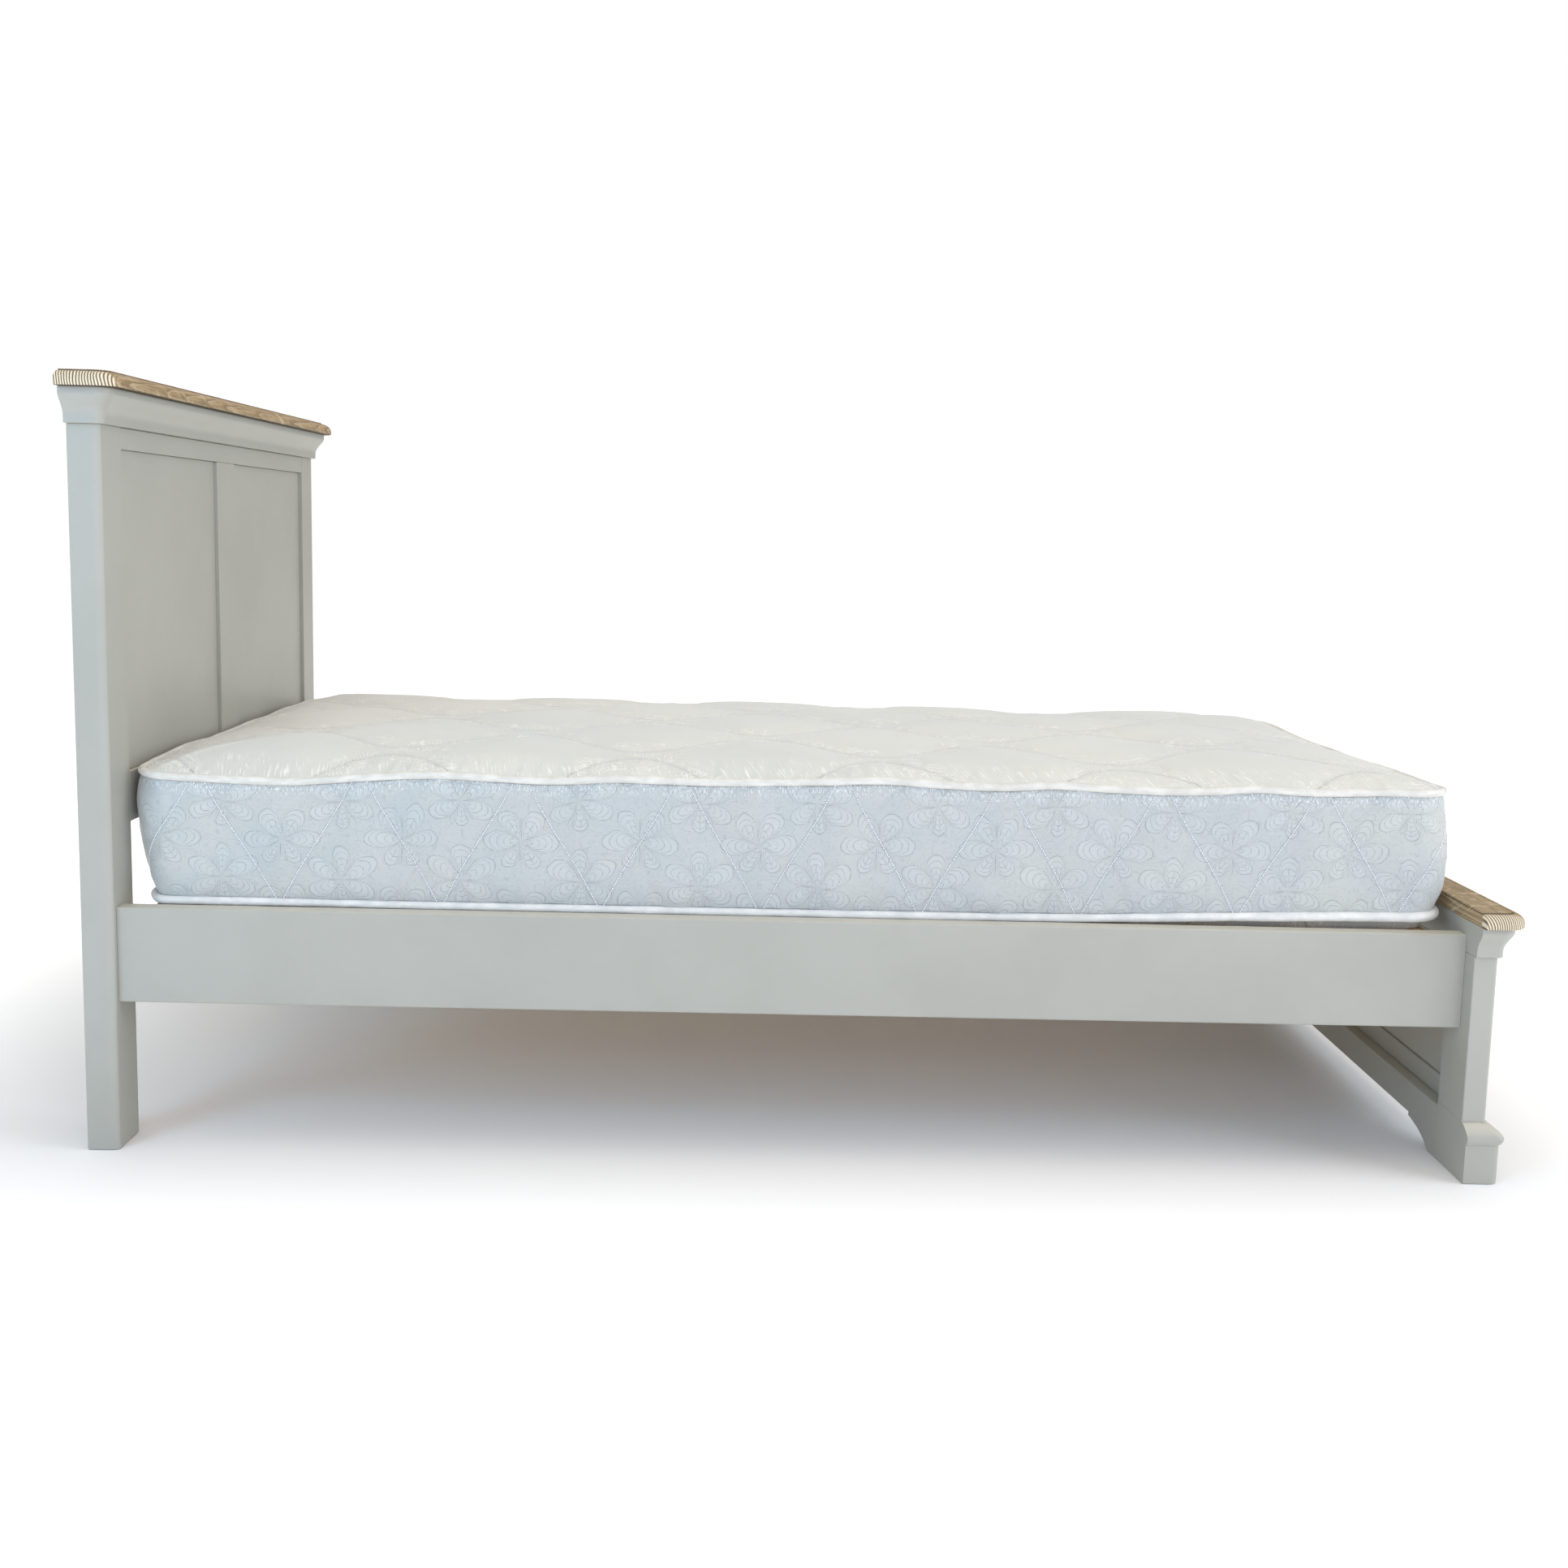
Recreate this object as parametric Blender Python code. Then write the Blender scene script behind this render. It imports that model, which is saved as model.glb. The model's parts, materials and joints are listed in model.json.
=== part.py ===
"""Painted single bedstead with a low foot end, oak capping rails, a slatted base and a sprung mattress.

Everything is modelled in a bed frame whose x = 0 is the inner face of the headboard, with +X towards
the foot, +Y to the right-hand side as seen from the foot, and z = 0 on the floor.  An empty carries the
whole bed to its final place, with the origin under the middle of its bounding box.
"""

import math

import bmesh
import bpy
from mathutils import Matrix, Vector

# ---------------------------------------------------------------- driving dimensions (metres)
GAP = 0.0003                 # joint line kept between touching pieces

# headboard
HEAD_T = 0.0455              # thickness of the head posts
HEAD_HALF = 0.508            # outer face of a head post, from the centre line
HEAD_POST_W = 0.072          # width of a head post, across the bed
HEAD_CORNICE_Z = 1.0400      # underside of the head cornice
HEAD_CAP_Z = 1.0885          # underside of the head oak cap
HEAD_TOP = 1.1115            # top of the head oak cap
HEAD_RAIL_Z = (1.0093, HEAD_CORNICE_Z)      # top rail between the posts
HEAD_LOW_Z = (0.4720, 0.5460)               # bottom rail between the posts
HEAD_STILE_HALF = 0.0415     # half the width of the upright between the two panels
HEAD_PANEL_FRONT = 0.0065    # how far the panels sit behind the frame
HEAD_PANEL_T = 0.0180
HEAD_CORNICE_OFF = (0.0080, 0.0235)         # projection of the cornice, bottom and top
HEAD_CAP_OFF = 0.0365                       # projection of the cap's nose

# footboard
BED_L = 1.950                # from the headboard to the footboard
FOOT_T = 0.0355              # thickness of the foot posts
FOOT_HALF = 0.5250           # outer face of a foot post
FOOT_POST_W = 0.0830
FOOT_APRON_Z = (0.0335, 0.0810)
FOOT_RAIL_T = 0.0340         # thickness of the apron, bracket feet and top rail
FOOT_CORNICE_Z = 0.3330
FOOT_CAP_Z = 0.3795
FOOT_TOP = 0.4020
FOOT_CORNICE_OFF = (0.0060, 0.0195)
FOOT_CAP_OFF = 0.0315
FOOT_RECESS = 0.0200         # panel behind the inner face of the foot frame
FOOT_PANEL_T = 0.0090
FOOT_BEAD_TOP = 0.1140       # top of the strip that the panel stands on
FOOT_PANEL_REBATE = 0.0035   # shadow line between the strip and the panel
FOOT_TOP_RAIL_Z = 0.2840
PLINTH_OFF = 0.0170          # projection of the plinth block
PLINTH_BULGE = 0.0220        # projection of the rounded moulding above it
PLINTH_Z = (0.0575, 0.0690, 0.0866)         # start, widest point and top of that moulding
PLINTH_CORNER = 0.0120       # rounding of the plinth's outer corner in plan
BRACKET_TOE = 0.4195         # where the bracket foot leaves the floor, from the centre line
BRACKET_END = 0.3430         # where its curve meets the apron
BRACKET_STEP = 0.0055        # small upright step under the apron

# side rails, slats and hardware
RAIL_OUT = 0.4955            # outer face of a side rail
RAIL_T = 0.028
RAIL_Z = (0.2180, 0.3575)
BEARER_W = 0.025
BEARER_Z = (0.2975, 0.3325)
SLAT_T = 0.018
SLAT_W = 0.070
SLAT_COUNT = 13
SLAT_FIRST, SLAT_LAST = 0.070, 1.880
SLAT_HALF = 0.4620
IRON_T = 0.003               # corner irons
IRON_Z = (0.2250, 0.2940)
IRON_POST_LEG = 0.0240
IRON_RAIL_LEG = 0.050
BOLT_R = 0.0030
BOLT_HOLE_R = 0.0034
BOLT_HEAD_R = 0.0080
BOLT_HEAD_T = 0.0036
BOLT_SOCKET = 0.0024         # across-corners radius of the key socket
BOLT_Z = (0.2430, 0.2760)
BOLT_Y = 0.4545

# mattress
MAT_X = (0.0080, 1.9360)
MAT_HALF = 0.4590
MAT_BOTTOM = BEARER_Z[1] + SLAT_T + 2 * GAP
TAPE_R = 0.0045
TAPE_LOW_Z = 0.3622
TAPE_TOP_Z = 0.5525
MAT_CROWN = 0.5885
MAT_CORNER = 0.055

PAINT = (0.640, 0.640, 0.600)
OAK = (0.480, 0.370, 0.240)
PINE = (0.740, 0.600, 0.410)
STEEL = (0.600, 0.600, 0.600)
BORDER_CLOTH = (0.800, 0.840, 0.880)
TOP_CLOTH = (0.880, 0.860, 0.810)
TAPE_CLOTH = (0.920, 0.920, 0.920)

# ---------------------------------------------------------------- scene set-up
for obj in list(bpy.data.objects):
    bpy.data.objects.remove(obj, do_unlink=True)

bed = bpy.data.collections.new("bedstead")
tools = bpy.data.collections.new("bedstead_cutters")
bpy.context.scene.collection.children.link(bed)
bpy.context.scene.collection.children.link(tools)

X_LOW = -HEAD_T
X_HIGH = BED_L + FOOT_T + FOOT_CAP_OFF
origin = bpy.data.objects.new("bed_origin", None)
origin.location = (-(X_LOW + X_HIGH) / 2, 0, 0)
bed.objects.link(origin)


def material(name, colour, roughness, metallic=0.0):
    m = bpy.data.materials.new(name)
    m.use_nodes = True
    b = m.node_tree.nodes["Principled BSDF"]
    b.inputs["Base Color"].default_value = (*colour, 1.0)
    b.inputs["Roughness"].default_value = roughness
    b.inputs["Metallic"].default_value = metallic
    m.diffuse_color = (*colour, 1.0)
    return m


FINISH = {
    "paint": (PAINT, 0.45, 0.0),
    "oak": (OAK, 0.55, 0.0),
    "pine": (PINE, 0.6, 0.0),
    "steel": (STEEL, 0.35, 1.0),
    "border": (BORDER_CLOTH, 0.8, 0.0),
    "damask": (TOP_CLOTH, 0.7, 0.0),
    "tape": (TAPE_CLOTH, 0.6, 0.0),
}


def add(name, bm, finish, smooth=None):
    """Turn a bmesh into a named object with its own material, carried by the bed's empty."""
    bmesh.ops.recalc_face_normals(bm, faces=bm.faces)
    me = bpy.data.meshes.new(name)
    bm.to_mesh(me)
    bm.free()
    if smooth is not None:
        me.shade_smooth()
        me.set_sharp_from_angle(angle=math.radians(smooth))
    colour, roughness, metallic = FINISH[finish]
    me.materials.append(material(name + "_" + finish, colour, roughness, metallic))
    obj = bpy.data.objects.new(name, me)
    bed.objects.link(obj)
    obj.parent = origin
    return obj


def box_bm(lo, hi):
    bm = bmesh.new()
    bmesh.ops.create_cube(bm, size=1.0)
    size = Vector(hi) - Vector(lo)
    mid = (Vector(hi) + Vector(lo)) / 2
    bmesh.ops.transform(bm, matrix=Matrix.Translation(mid) @ Matrix.Diagonal((*size, 1.0)), verts=bm.verts)
    return bm


def edge_like(bm, test):
    return [e for e in bm.edges if test(e.verts[0].co) and test(e.verts[1].co)]


def bevel(bm, edges, width, segments=2):
    bmesh.ops.bevel(bm, geom=edges, offset=width, offset_type="OFFSET", segments=segments,
                    profile=0.5, affect="EDGES", clamp_overlap=True)


def board(name, lo, hi, finish, arris=0.0015, segments=1, round_edge=None, round_w=0.0, round_seg=4, flush=None):
    """A planed board with its arrises eased; one chosen edge can be rounded more, and edges that meet
    a neighbour flush stay sharp."""
    bm = box_bm(lo, hi)
    if round_edge is not None:
        chosen = edge_like(bm, round_edge)
        bevel(bm, chosen, round_w, round_seg)
    if arris:
        sharp = [e for e in bm.edges if e.calc_face_angle(0) > math.radians(60)
                 and not (flush and flush((e.verts[0].co + e.verts[1].co) / 2))]
        bevel(bm, sharp, arris, segments)
    return add(name, bm, finish, smooth=40)


def ring(x_in, x_out, y_a, y_b, off, corner, steps, both, grow=1.0):
    """A moulding's outline in plan at one projection: straight along the back, rounded at the corners
    that show.  both = True wraps it round both ends of the bed, False round the outer end only."""
    pts = []
    r = corner + grow * off
    s = 1.0 if x_out > x_in else -1.0            # which way the moulding faces along X
    xo = x_out + s * off
    if both:
        lo, hi = y_a - off, y_b + off
        pts.append((x_in, lo))
        for i in range(steps + 1):
            a = math.pi / 2 * i / steps
            pts.append((xo - s * r + s * r * math.sin(a), lo + r - r * math.cos(a)))
        for i in range(steps + 1):
            a = math.pi / 2 * i / steps
            pts.append((xo - s * r + s * r * math.cos(a), hi - r + r * math.sin(a)))
        pts.append((x_in, hi))
    else:
        # y_a is the outer side, y_b the inner one, which stays flat
        t = 1.0 if y_b > y_a else -1.0
        lo = y_a - t * off
        pts.append((x_in, lo))
        for i in range(steps + 1):
            a = math.pi / 2 * i / steps
            pts.append((xo - s * r + s * r * math.sin(a), lo + t * r - t * r * math.cos(a)))
        pts.append((xo, y_b))
        pts.append((x_in, y_b))
    return pts


def moulding(name, finish, profile, x_in, x_out, y_a, y_b, corner, steps=4, both=True, smooth=35, grow=1.0):
    """A block whose visible sides carry a moulded profile: outlines at each projection and height,
    bridged one to the next and closed top and bottom."""
    bm = bmesh.new()
    loops = []
    for off, z in profile:
        vs = [bm.verts.new((x, y, z)) for x, y in ring(x_in, x_out, y_a, y_b, off, corner, steps, both, grow)]
        loops.append([bm.edges.new((vs[i], vs[(i + 1) % len(vs)])) for i in range(len(vs))])
    for a, b in zip(loops, loops[1:]):
        bmesh.ops.bridge_loops(bm, edges=a + b)
    bmesh.ops.edgeloop_fill(bm, edges=loops[0])
    bmesh.ops.edgeloop_fill(bm, edges=loops[-1])
    return add(name, bm, finish, smooth=smooth)


def cornice_profile(z0, z1, low, high):
    """Lower fillet, a hollow sweeping outwards, and a narrow fillet under the cap."""
    h = z1 - z0
    fillet_low, fillet_top = 0.22 * h, 0.19 * h
    pts = [(low - 0.0012, z0), (low, z0 + 0.0012), (low, z0 + fillet_low)]
    n = 6
    zs, ze = z0 + fillet_low, z1 - fillet_top
    for i in range(1, n + 1):
        a = math.pi / 2 * i / n
        pts.append((low + 0.0010 + (high - low - 0.0030) * (1 - math.cos(a)), zs + (ze - zs) * math.sin(a)))
    pts += [(high, ze + 0.0006), (high, z1 - 0.0008), (high - 0.0008, z1)]
    return pts


def cap_profile(z0, z1, nose):
    """Bottom fillet, a quarter-round nose, a small quirk and the raised flat top."""
    h = z1 - z0
    fillet, quirk = 0.20 * h, 0.0024
    run = 0.0155
    pts = [(nose - 0.0018, z0), (nose - 0.0006, z0 + 0.0010), (nose, z0 + fillet)]
    n = 7
    for i in range(1, n + 1):
        a = math.pi / 2 * i / n
        pts.append((nose - run + run * math.cos(a), z0 + fillet + (h - fillet - quirk) * math.sin(a)))
    pts += [(nose - run - 0.0006, z1 - 0.0004), (nose - run - 0.0014, z1)]
    return pts


def cut(target, cutter):
    mod = target.modifiers.new("hole_" + cutter.name, "BOOLEAN")
    mod.operation = "DIFFERENCE"
    mod.solver = "EXACT"
    mod.object = cutter


def rod_cutter(name, x0, x1, y, z, r):
    bm = bmesh.new()
    bmesh.ops.create_cone(bm, cap_ends=True, segments=16, radius1=r, radius2=r, depth=x1 - x0)
    bmesh.ops.transform(bm, matrix=Matrix.Translation(((x0 + x1) / 2, y, z)) @ Matrix.Rotation(math.pi / 2, 4, "Y"),
                        verts=bm.verts)
    me = bpy.data.meshes.new(name)
    bm.to_mesh(me)
    bm.free()
    obj = bpy.data.objects.new(name, me)
    obj.hide_render = True
    obj.display_type = "WIRE"
    tools.objects.link(obj)
    obj.parent = origin
    return obj


SIDES = (("left", -1.0), ("right", 1.0))

# ---------------------------------------------------------------- headboard
head_post_in = HEAD_HALF - HEAD_POST_W
head_posts = {}
for side, s in SIDES:
    y0, y1 = sorted((s * HEAD_HALF, s * head_post_in))
    head_posts[side] = board(
        "head_post_" + side, (-HEAD_T, y0, 0.0), (0.0, y1, HEAD_CORNICE_Z - GAP), "paint", arris=0.0012,
        round_edge=lambda c, s=s: abs(c.x) < 1e-6 and abs(c.y - s * HEAD_HALF) < 1e-6,
        round_w=0.0095, round_seg=4)

span = head_post_in - GAP
board("head_top_rail", (-HEAD_T, -span, HEAD_RAIL_Z[0]), (0.0, span, HEAD_RAIL_Z[1] - GAP), "paint", arris=0.0010)
board("head_bottom_rail", (-HEAD_T + 0.008, -span, HEAD_LOW_Z[0]), (0.0, span, HEAD_LOW_Z[1]), "paint", arris=0.0015, segments=2)
board("head_centre_stile", (-HEAD_T + 0.008, -HEAD_STILE_HALF, HEAD_LOW_Z[1] + GAP), (0.0, HEAD_STILE_HALF, HEAD_RAIL_Z[0] - GAP), "paint", arris=0.0010)

# a flat panel each side of the centre stile
for side, s in SIDES:
    y0, y1 = sorted((s * (HEAD_STILE_HALF + GAP), s * span))
    front = -HEAD_PANEL_FRONT
    board("head_panel_" + side, (front - HEAD_PANEL_T, y0, HEAD_LOW_Z[1] + GAP), (front, y1, HEAD_RAIL_Z[0] - GAP),
          "paint", arris=0.0006)

moulding("head_cornice", "paint", cornice_profile(HEAD_CORNICE_Z, HEAD_CAP_Z - GAP, *HEAD_CORNICE_OFF),
         -HEAD_T, 0.0, -HEAD_HALF, HEAD_HALF, 0.0045)
moulding("head_oak_cap", "oak", cap_profile(HEAD_CAP_Z, HEAD_TOP, HEAD_CAP_OFF),
         -HEAD_T, 0.0, -HEAD_HALF, HEAD_HALF, 0.0045)

# ---------------------------------------------------------------- footboard
foot_out = BED_L + FOOT_T
foot_post_in = FOOT_HALF - FOOT_POST_W
foot_posts = {}
z_low, z_wide, z_high = PLINTH_Z
plinth = [(PLINTH_OFF - 0.0008, 0.0), (PLINTH_OFF, 0.0008)]
plinth.append((PLINTH_OFF, z_low))
for i in range(1, 5):                        # a small hollow and nose above the plinth
    a = math.pi / 2 * i / 4
    plinth.append((PLINTH_OFF + (PLINTH_BULGE - PLINTH_OFF) * math.sin(a) ** 1.4, z_wide - (z_wide - z_low) * math.cos(a)))
for i in range(1, 6):                        # rolling over into a slope that meets the face of the post
    t = i / 5
    nose = PLINTH_BULGE * (1.0 - t ** 1.35)
    plinth.append((max(nose, 0.0006), z_wide + (z_high - z_wide) * (0.30 * math.sin(math.pi / 2 * t) + 0.70 * t)))
for side, s in SIDES:
    y0, y1 = sorted((s * FOOT_HALF, s * foot_post_in))
    foot_posts[side] = board(
        "foot_post_" + side, (BED_L, y0, PLINTH_Z[2] + GAP), (foot_out, y1, FOOT_CORNICE_Z - GAP), "paint", arris=0.0012,
        round_edge=lambda c, s=s: abs(c.x - foot_out) < 1e-6 and abs(c.y - s * FOOT_HALF) < 1e-6,
        round_w=0.0065, round_seg=4,
        flush=lambda c, s=s: c.z < PLINTH_Z[2] + 0.001 or (c.x < BED_L + 1e-4 and abs(c.y - s * foot_post_in) < 1e-4 and c.z < 0.2))
    moulding("foot_plinth_" + side, "paint", plinth, BED_L, foot_out, s * FOOT_HALF, s * foot_post_in, PLINTH_CORNER, both=False, grow=0.0)

fspan = foot_post_in - GAP
board("foot_top_rail", (BED_L, -fspan, FOOT_TOP_RAIL_Z), (BED_L + FOOT_RAIL_T, fspan, FOOT_CORNICE_Z - GAP), "paint", arris=0.0012)
board("foot_apron", (BED_L, -fspan, FOOT_APRON_Z[0]), (BED_L + FOOT_RAIL_T, fspan, FOOT_APRON_Z[1]), "paint", arris=0.0012,
      flush=lambda c: abs(c.y) > fspan - 1e-4 or c.z < FOOT_APRON_Z[0] + 1e-4)
board("foot_panel_bead", (BED_L + FOOT_RECESS - 0.0005, -fspan, FOOT_APRON_Z[1] + GAP),
      (BED_L + FOOT_RECESS + FOOT_PANEL_T + 0.001, fspan, FOOT_BEAD_TOP - GAP), "paint", arris=0.0010)
bm = box_bm((BED_L + FOOT_RECESS, -fspan, FOOT_BEAD_TOP), (BED_L + FOOT_RECESS + FOOT_PANEL_T, fspan, FOOT_TOP_RAIL_Z - GAP))
bevel(bm, edge_like(bm, lambda c: abs(c.x - BED_L - FOOT_RECESS) < 1e-6 and abs(c.z - FOOT_BEAD_TOP) < 1e-6), FOOT_PANEL_REBATE, 1)
add("foot_panel", bm, "paint", smooth=30)
moulding("foot_cornice", "paint", cornice_profile(FOOT_CORNICE_Z, FOOT_CAP_Z - GAP, *FOOT_CORNICE_OFF),
         BED_L, foot_out, -FOOT_HALF, FOOT_HALF, 0.0045)
moulding("foot_oak_cap", "oak", cap_profile(FOOT_CAP_Z, FOOT_TOP, FOOT_CAP_OFF),
         BED_L, foot_out, -FOOT_HALF, FOOT_HALF, 0.0045)

# bracket feet: a flat outline with a cyma, in the thickness of the apron
bracket_top = FOOT_APRON_Z[0] - GAP
for side, s in SIDES:
    outline = [(foot_post_in - GAP, bracket_top), (foot_post_in - GAP, 0.0), (BRACKET_TOE, 0.0)]
    start = bracket_top - BRACKET_STEP
    m = 14
    for i in range(1, m + 1):                # rises steeply from the toe, then eases towards the step
        t = i / m
        y = BRACKET_TOE - (BRACKET_TOE - BRACKET_END - 0.0010) * t
        swell = 1.0 - (1.0 - t) ** 2.1
        outline.append((y, start * (0.80 * swell + 0.20 * t) + 0.0006 * math.sin(2 * math.pi * t)))
    outline += [(BRACKET_END, start + 0.0012), (BRACKET_END, bracket_top)]
    bm = bmesh.new()
    face = bm.faces.new([bm.verts.new((BED_L, s * y, z)) for y, z in outline])
    up = bmesh.ops.extrude_face_region(bm, geom=[face])
    bmesh.ops.translate(bm, vec=(FOOT_RAIL_T, 0, 0), verts=[v for v in up["geom"] if isinstance(v, bmesh.types.BMVert)])
    add("foot_bracket_" + side, bm, "paint", smooth=35)

# ---------------------------------------------------------------- side rails and slatted base
rail_in = RAIL_OUT - RAIL_T
for side, s in SIDES:
    y0, y1 = sorted((s * RAIL_OUT, s * rail_in))
    bm = box_bm((GAP, y0, RAIL_Z[0]), (BED_L - GAP, y1, RAIL_Z[1]))
    long_edges = [e for e in bm.edges if abs((e.verts[0].co - e.verts[1].co).x) > 1.0]
    bevel(bm, long_edges, 0.0028, 3)
    add("side_rail_" + side, bm, "paint", smooth=40)
    y0, y1 = sorted((s * (rail_in - GAP), s * (rail_in - GAP - BEARER_W)))
    board("slat_bearer_" + side, (0.030, y0, BEARER_Z[0]), (BED_L - 0.030, y1, BEARER_Z[1]), "pine", arris=0.0015)

for k in range(SLAT_COUNT):
    x = SLAT_FIRST + (SLAT_LAST - SLAT_FIRST) * k / (SLAT_COUNT - 1)
    board("slat_%02d" % (k + 1), (x - SLAT_W / 2, -SLAT_HALF, BEARER_Z[1] + GAP),
          (x + SLAT_W / 2, SLAT_HALF, BEARER_Z[1] + GAP + SLAT_T), "pine", arris=0.0020)

# ---------------------------------------------------------------- corner irons and their bolts
for end in ("head", "foot"):
    face = 0.0 if end == "head" else BED_L
    d = 1.0 if end == "head" else -1.0           # away from the post, along X
    depth = 0.036 if end == "head" else 0.029    # how far a bolt goes into its post
    for side, s in SIDES:
        yi = rail_in - GAP
        outline = [(GAP, yi), (IRON_RAIL_LEG, yi), (IRON_RAIL_LEG, yi - IRON_T), (GAP + IRON_T, yi - IRON_T),
                   (GAP + IRON_T, yi - IRON_POST_LEG), (GAP, yi - IRON_POST_LEG)]
        bm = bmesh.new()
        f = bm.faces.new([bm.verts.new((face + d * x, s * y, IRON_Z[0])) for x, y in outline])
        up = bmesh.ops.extrude_face_region(bm, geom=[f])
        bmesh.ops.translate(bm, vec=(0, 0, IRON_Z[1] - IRON_Z[0]), verts=[v for v in up["geom"] if isinstance(v, bmesh.types.BMVert)])
        iron = add("corner_iron_%s_%s" % (end, side), bm, "steel", smooth=30)
        post = (head_posts if end == "head" else foot_posts)[side]
        for j, z in enumerate(BOLT_Z):
            tag = "%s_%s_%s" % (end, side, ("low", "high")[j])
            x0, x1 = sorted((face - d * (depth + 0.002), face + d * 0.010))
            hole = rod_cutter("bolt_hole_" + tag, x0, x1, s * BOLT_Y, z, BOLT_HOLE_R)
            cut(iron, hole)
            cut(post, hole)
            # a low round head with a key socket on a plain shank, turned about the bolt's own axis
            prof = [(0.0, -depth - IRON_T), (BOLT_R - 0.0008, -depth - IRON_T), (BOLT_R, -depth - IRON_T + 0.0012), (BOLT_R, 0.0),
                    (BOLT_HEAD_R, 0.0), (BOLT_HEAD_R, 0.0016), (BOLT_HEAD_R - 0.0022, BOLT_HEAD_T), (0.0, BOLT_HEAD_T)]
            bm = bmesh.new()
            vs = [bm.verts.new((r, 0, h)) for r, h in prof]
            es = [bm.edges.new(q) for q in zip(vs, vs[1:])]
            bmesh.ops.spin(bm, geom=vs + es, cent=(0, 0, 0), axis=(0, 0, 1), angle=2 * math.pi, steps=16, use_merge=True)
            bmesh.ops.remove_doubles(bm, verts=bm.verts, dist=1e-6)
            bolt = add("corner_bolt_" + tag, bm, "steel", smooth=30)
            bolt.rotation_euler = (0, math.pi / 2 * d, 0)
            bolt.location = (face + d * (2 * GAP + IRON_T), s * BOLT_Y, z)
            bm = bmesh.new()
            bmesh.ops.create_cone(bm, cap_ends=True, segments=6, radius1=BOLT_SOCKET, radius2=BOLT_SOCKET, depth=0.006)
            me = bpy.data.meshes.new("bolt_socket_" + tag)
            bm.to_mesh(me)
            bm.free()
            socket = bpy.data.objects.new("bolt_socket_" + tag, me)
            socket.hide_render = True
            socket.display_type = "WIRE"
            tools.objects.link(socket)
            socket.parent = bolt
            socket.location = (0, 0, BOLT_HEAD_T - 0.0022 + 0.003)
            cut(bolt, socket)

# ---------------------------------------------------------------- mattress
def rounded_plan(inset, corner, steps):
    """The mattress's outline in plan: long sides and ends, with rounded corners."""
    x0, x1, h = MAT_X[0] + inset, MAT_X[1] - inset, MAT_HALF - inset
    r = max(corner - inset, 0.006)
    pts = []
    for cx, cy, a0 in ((x1 - r, h - r, 0), (x0 + r, h - r, 90), (x0 + r, -h + r, 180), (x1 - r, -h + r, 270)):
        for i in range(steps + 1):
            a = math.radians(a0 + 90.0 * i / steps)
            pts.append((cx + r * math.cos(a), cy + r * math.sin(a)))
    return pts


def pad(name, finish, layers, steps=5):
    """A soft closed form: outlines stacked by height and bridged."""
    bm = bmesh.new()
    loops = []
    for inset, z in layers:
        vs = [bm.verts.new((x, y, z)) for x, y in rounded_plan(inset, MAT_CORNER, steps)]
        loops.append([bm.edges.new((vs[i], vs[(i + 1) % len(vs)])) for i in range(len(vs))])
    for a, b in zip(loops, loops[1:]):
        bmesh.ops.bridge_loops(bm, edges=a + b)
    bmesh.ops.edgeloop_fill(bm, edges=loops[0])
    bmesh.ops.edgeloop_fill(bm, edges=loops[-1])
    return add(name, bm, finish, smooth=50)


CORE_LOW = TAPE_LOW_Z - 0.0020
CORE_TOP = TAPE_TOP_Z + 0.0020
core = pad("mattress_border_and_springs", "border",
           [(0.0160, CORE_LOW), (0.0125, CORE_LOW + 0.009), (0.0040, 0.4000), (0.0, 0.4550), (0.0025, 0.5030),
            (0.0085, 0.5370), (0.0125, CORE_TOP - 0.007), (0.0160, CORE_TOP)])
pad("mattress_top_panel", "damask",
    [(0.0160, CORE_TOP + GAP), (0.0165, CORE_TOP + 0.004), (0.0300, 0.5670), (0.0700, 0.5780), (0.1600, 0.5860), (0.2600, MAT_CROWN)])
pad("mattress_bottom_panel", "damask", [(0.0320, MAT_BOTTOM), (0.0170, MAT_BOTTOM + 0.0050), (0.0160, CORE_LOW - GAP)])


def tape(name, z, inset):
    """The rolled tape that binds a panel to the border: a closed cord round the mattress."""
    pts = rounded_plan(inset, MAT_CORNER, 5)
    cu = bpy.data.curves.new(name, "CURVE")
    cu.dimensions = "3D"
    cu.bevel_depth = TAPE_R
    cu.bevel_resolution = 1
    sp = cu.splines.new("POLY")
    sp.points.add(len(pts) - 1)
    for p, (x, y) in zip(sp.points, pts):
        p.co = (x, y, z, 1.0)
    sp.use_cyclic_u = True
    obj = bpy.data.objects.new(name, cu)
    bed.objects.link(obj)
    obj.parent = origin
    cu.materials.append(material(name + "_tape", TAPE_CLOTH, 0.6))
    return obj


tape("mattress_tape_top", TAPE_TOP_Z, 0.0160 - TAPE_R - 0.0040 + 0.0002)
tape("mattress_tape_bottom", TAPE_LOW_Z, 0.0160 - TAPE_R - 0.0040 + 0.0002)
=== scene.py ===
import json
import math

import bmesh
import bpy
import numpy as np
from mathutils import Matrix, Vector


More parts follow.
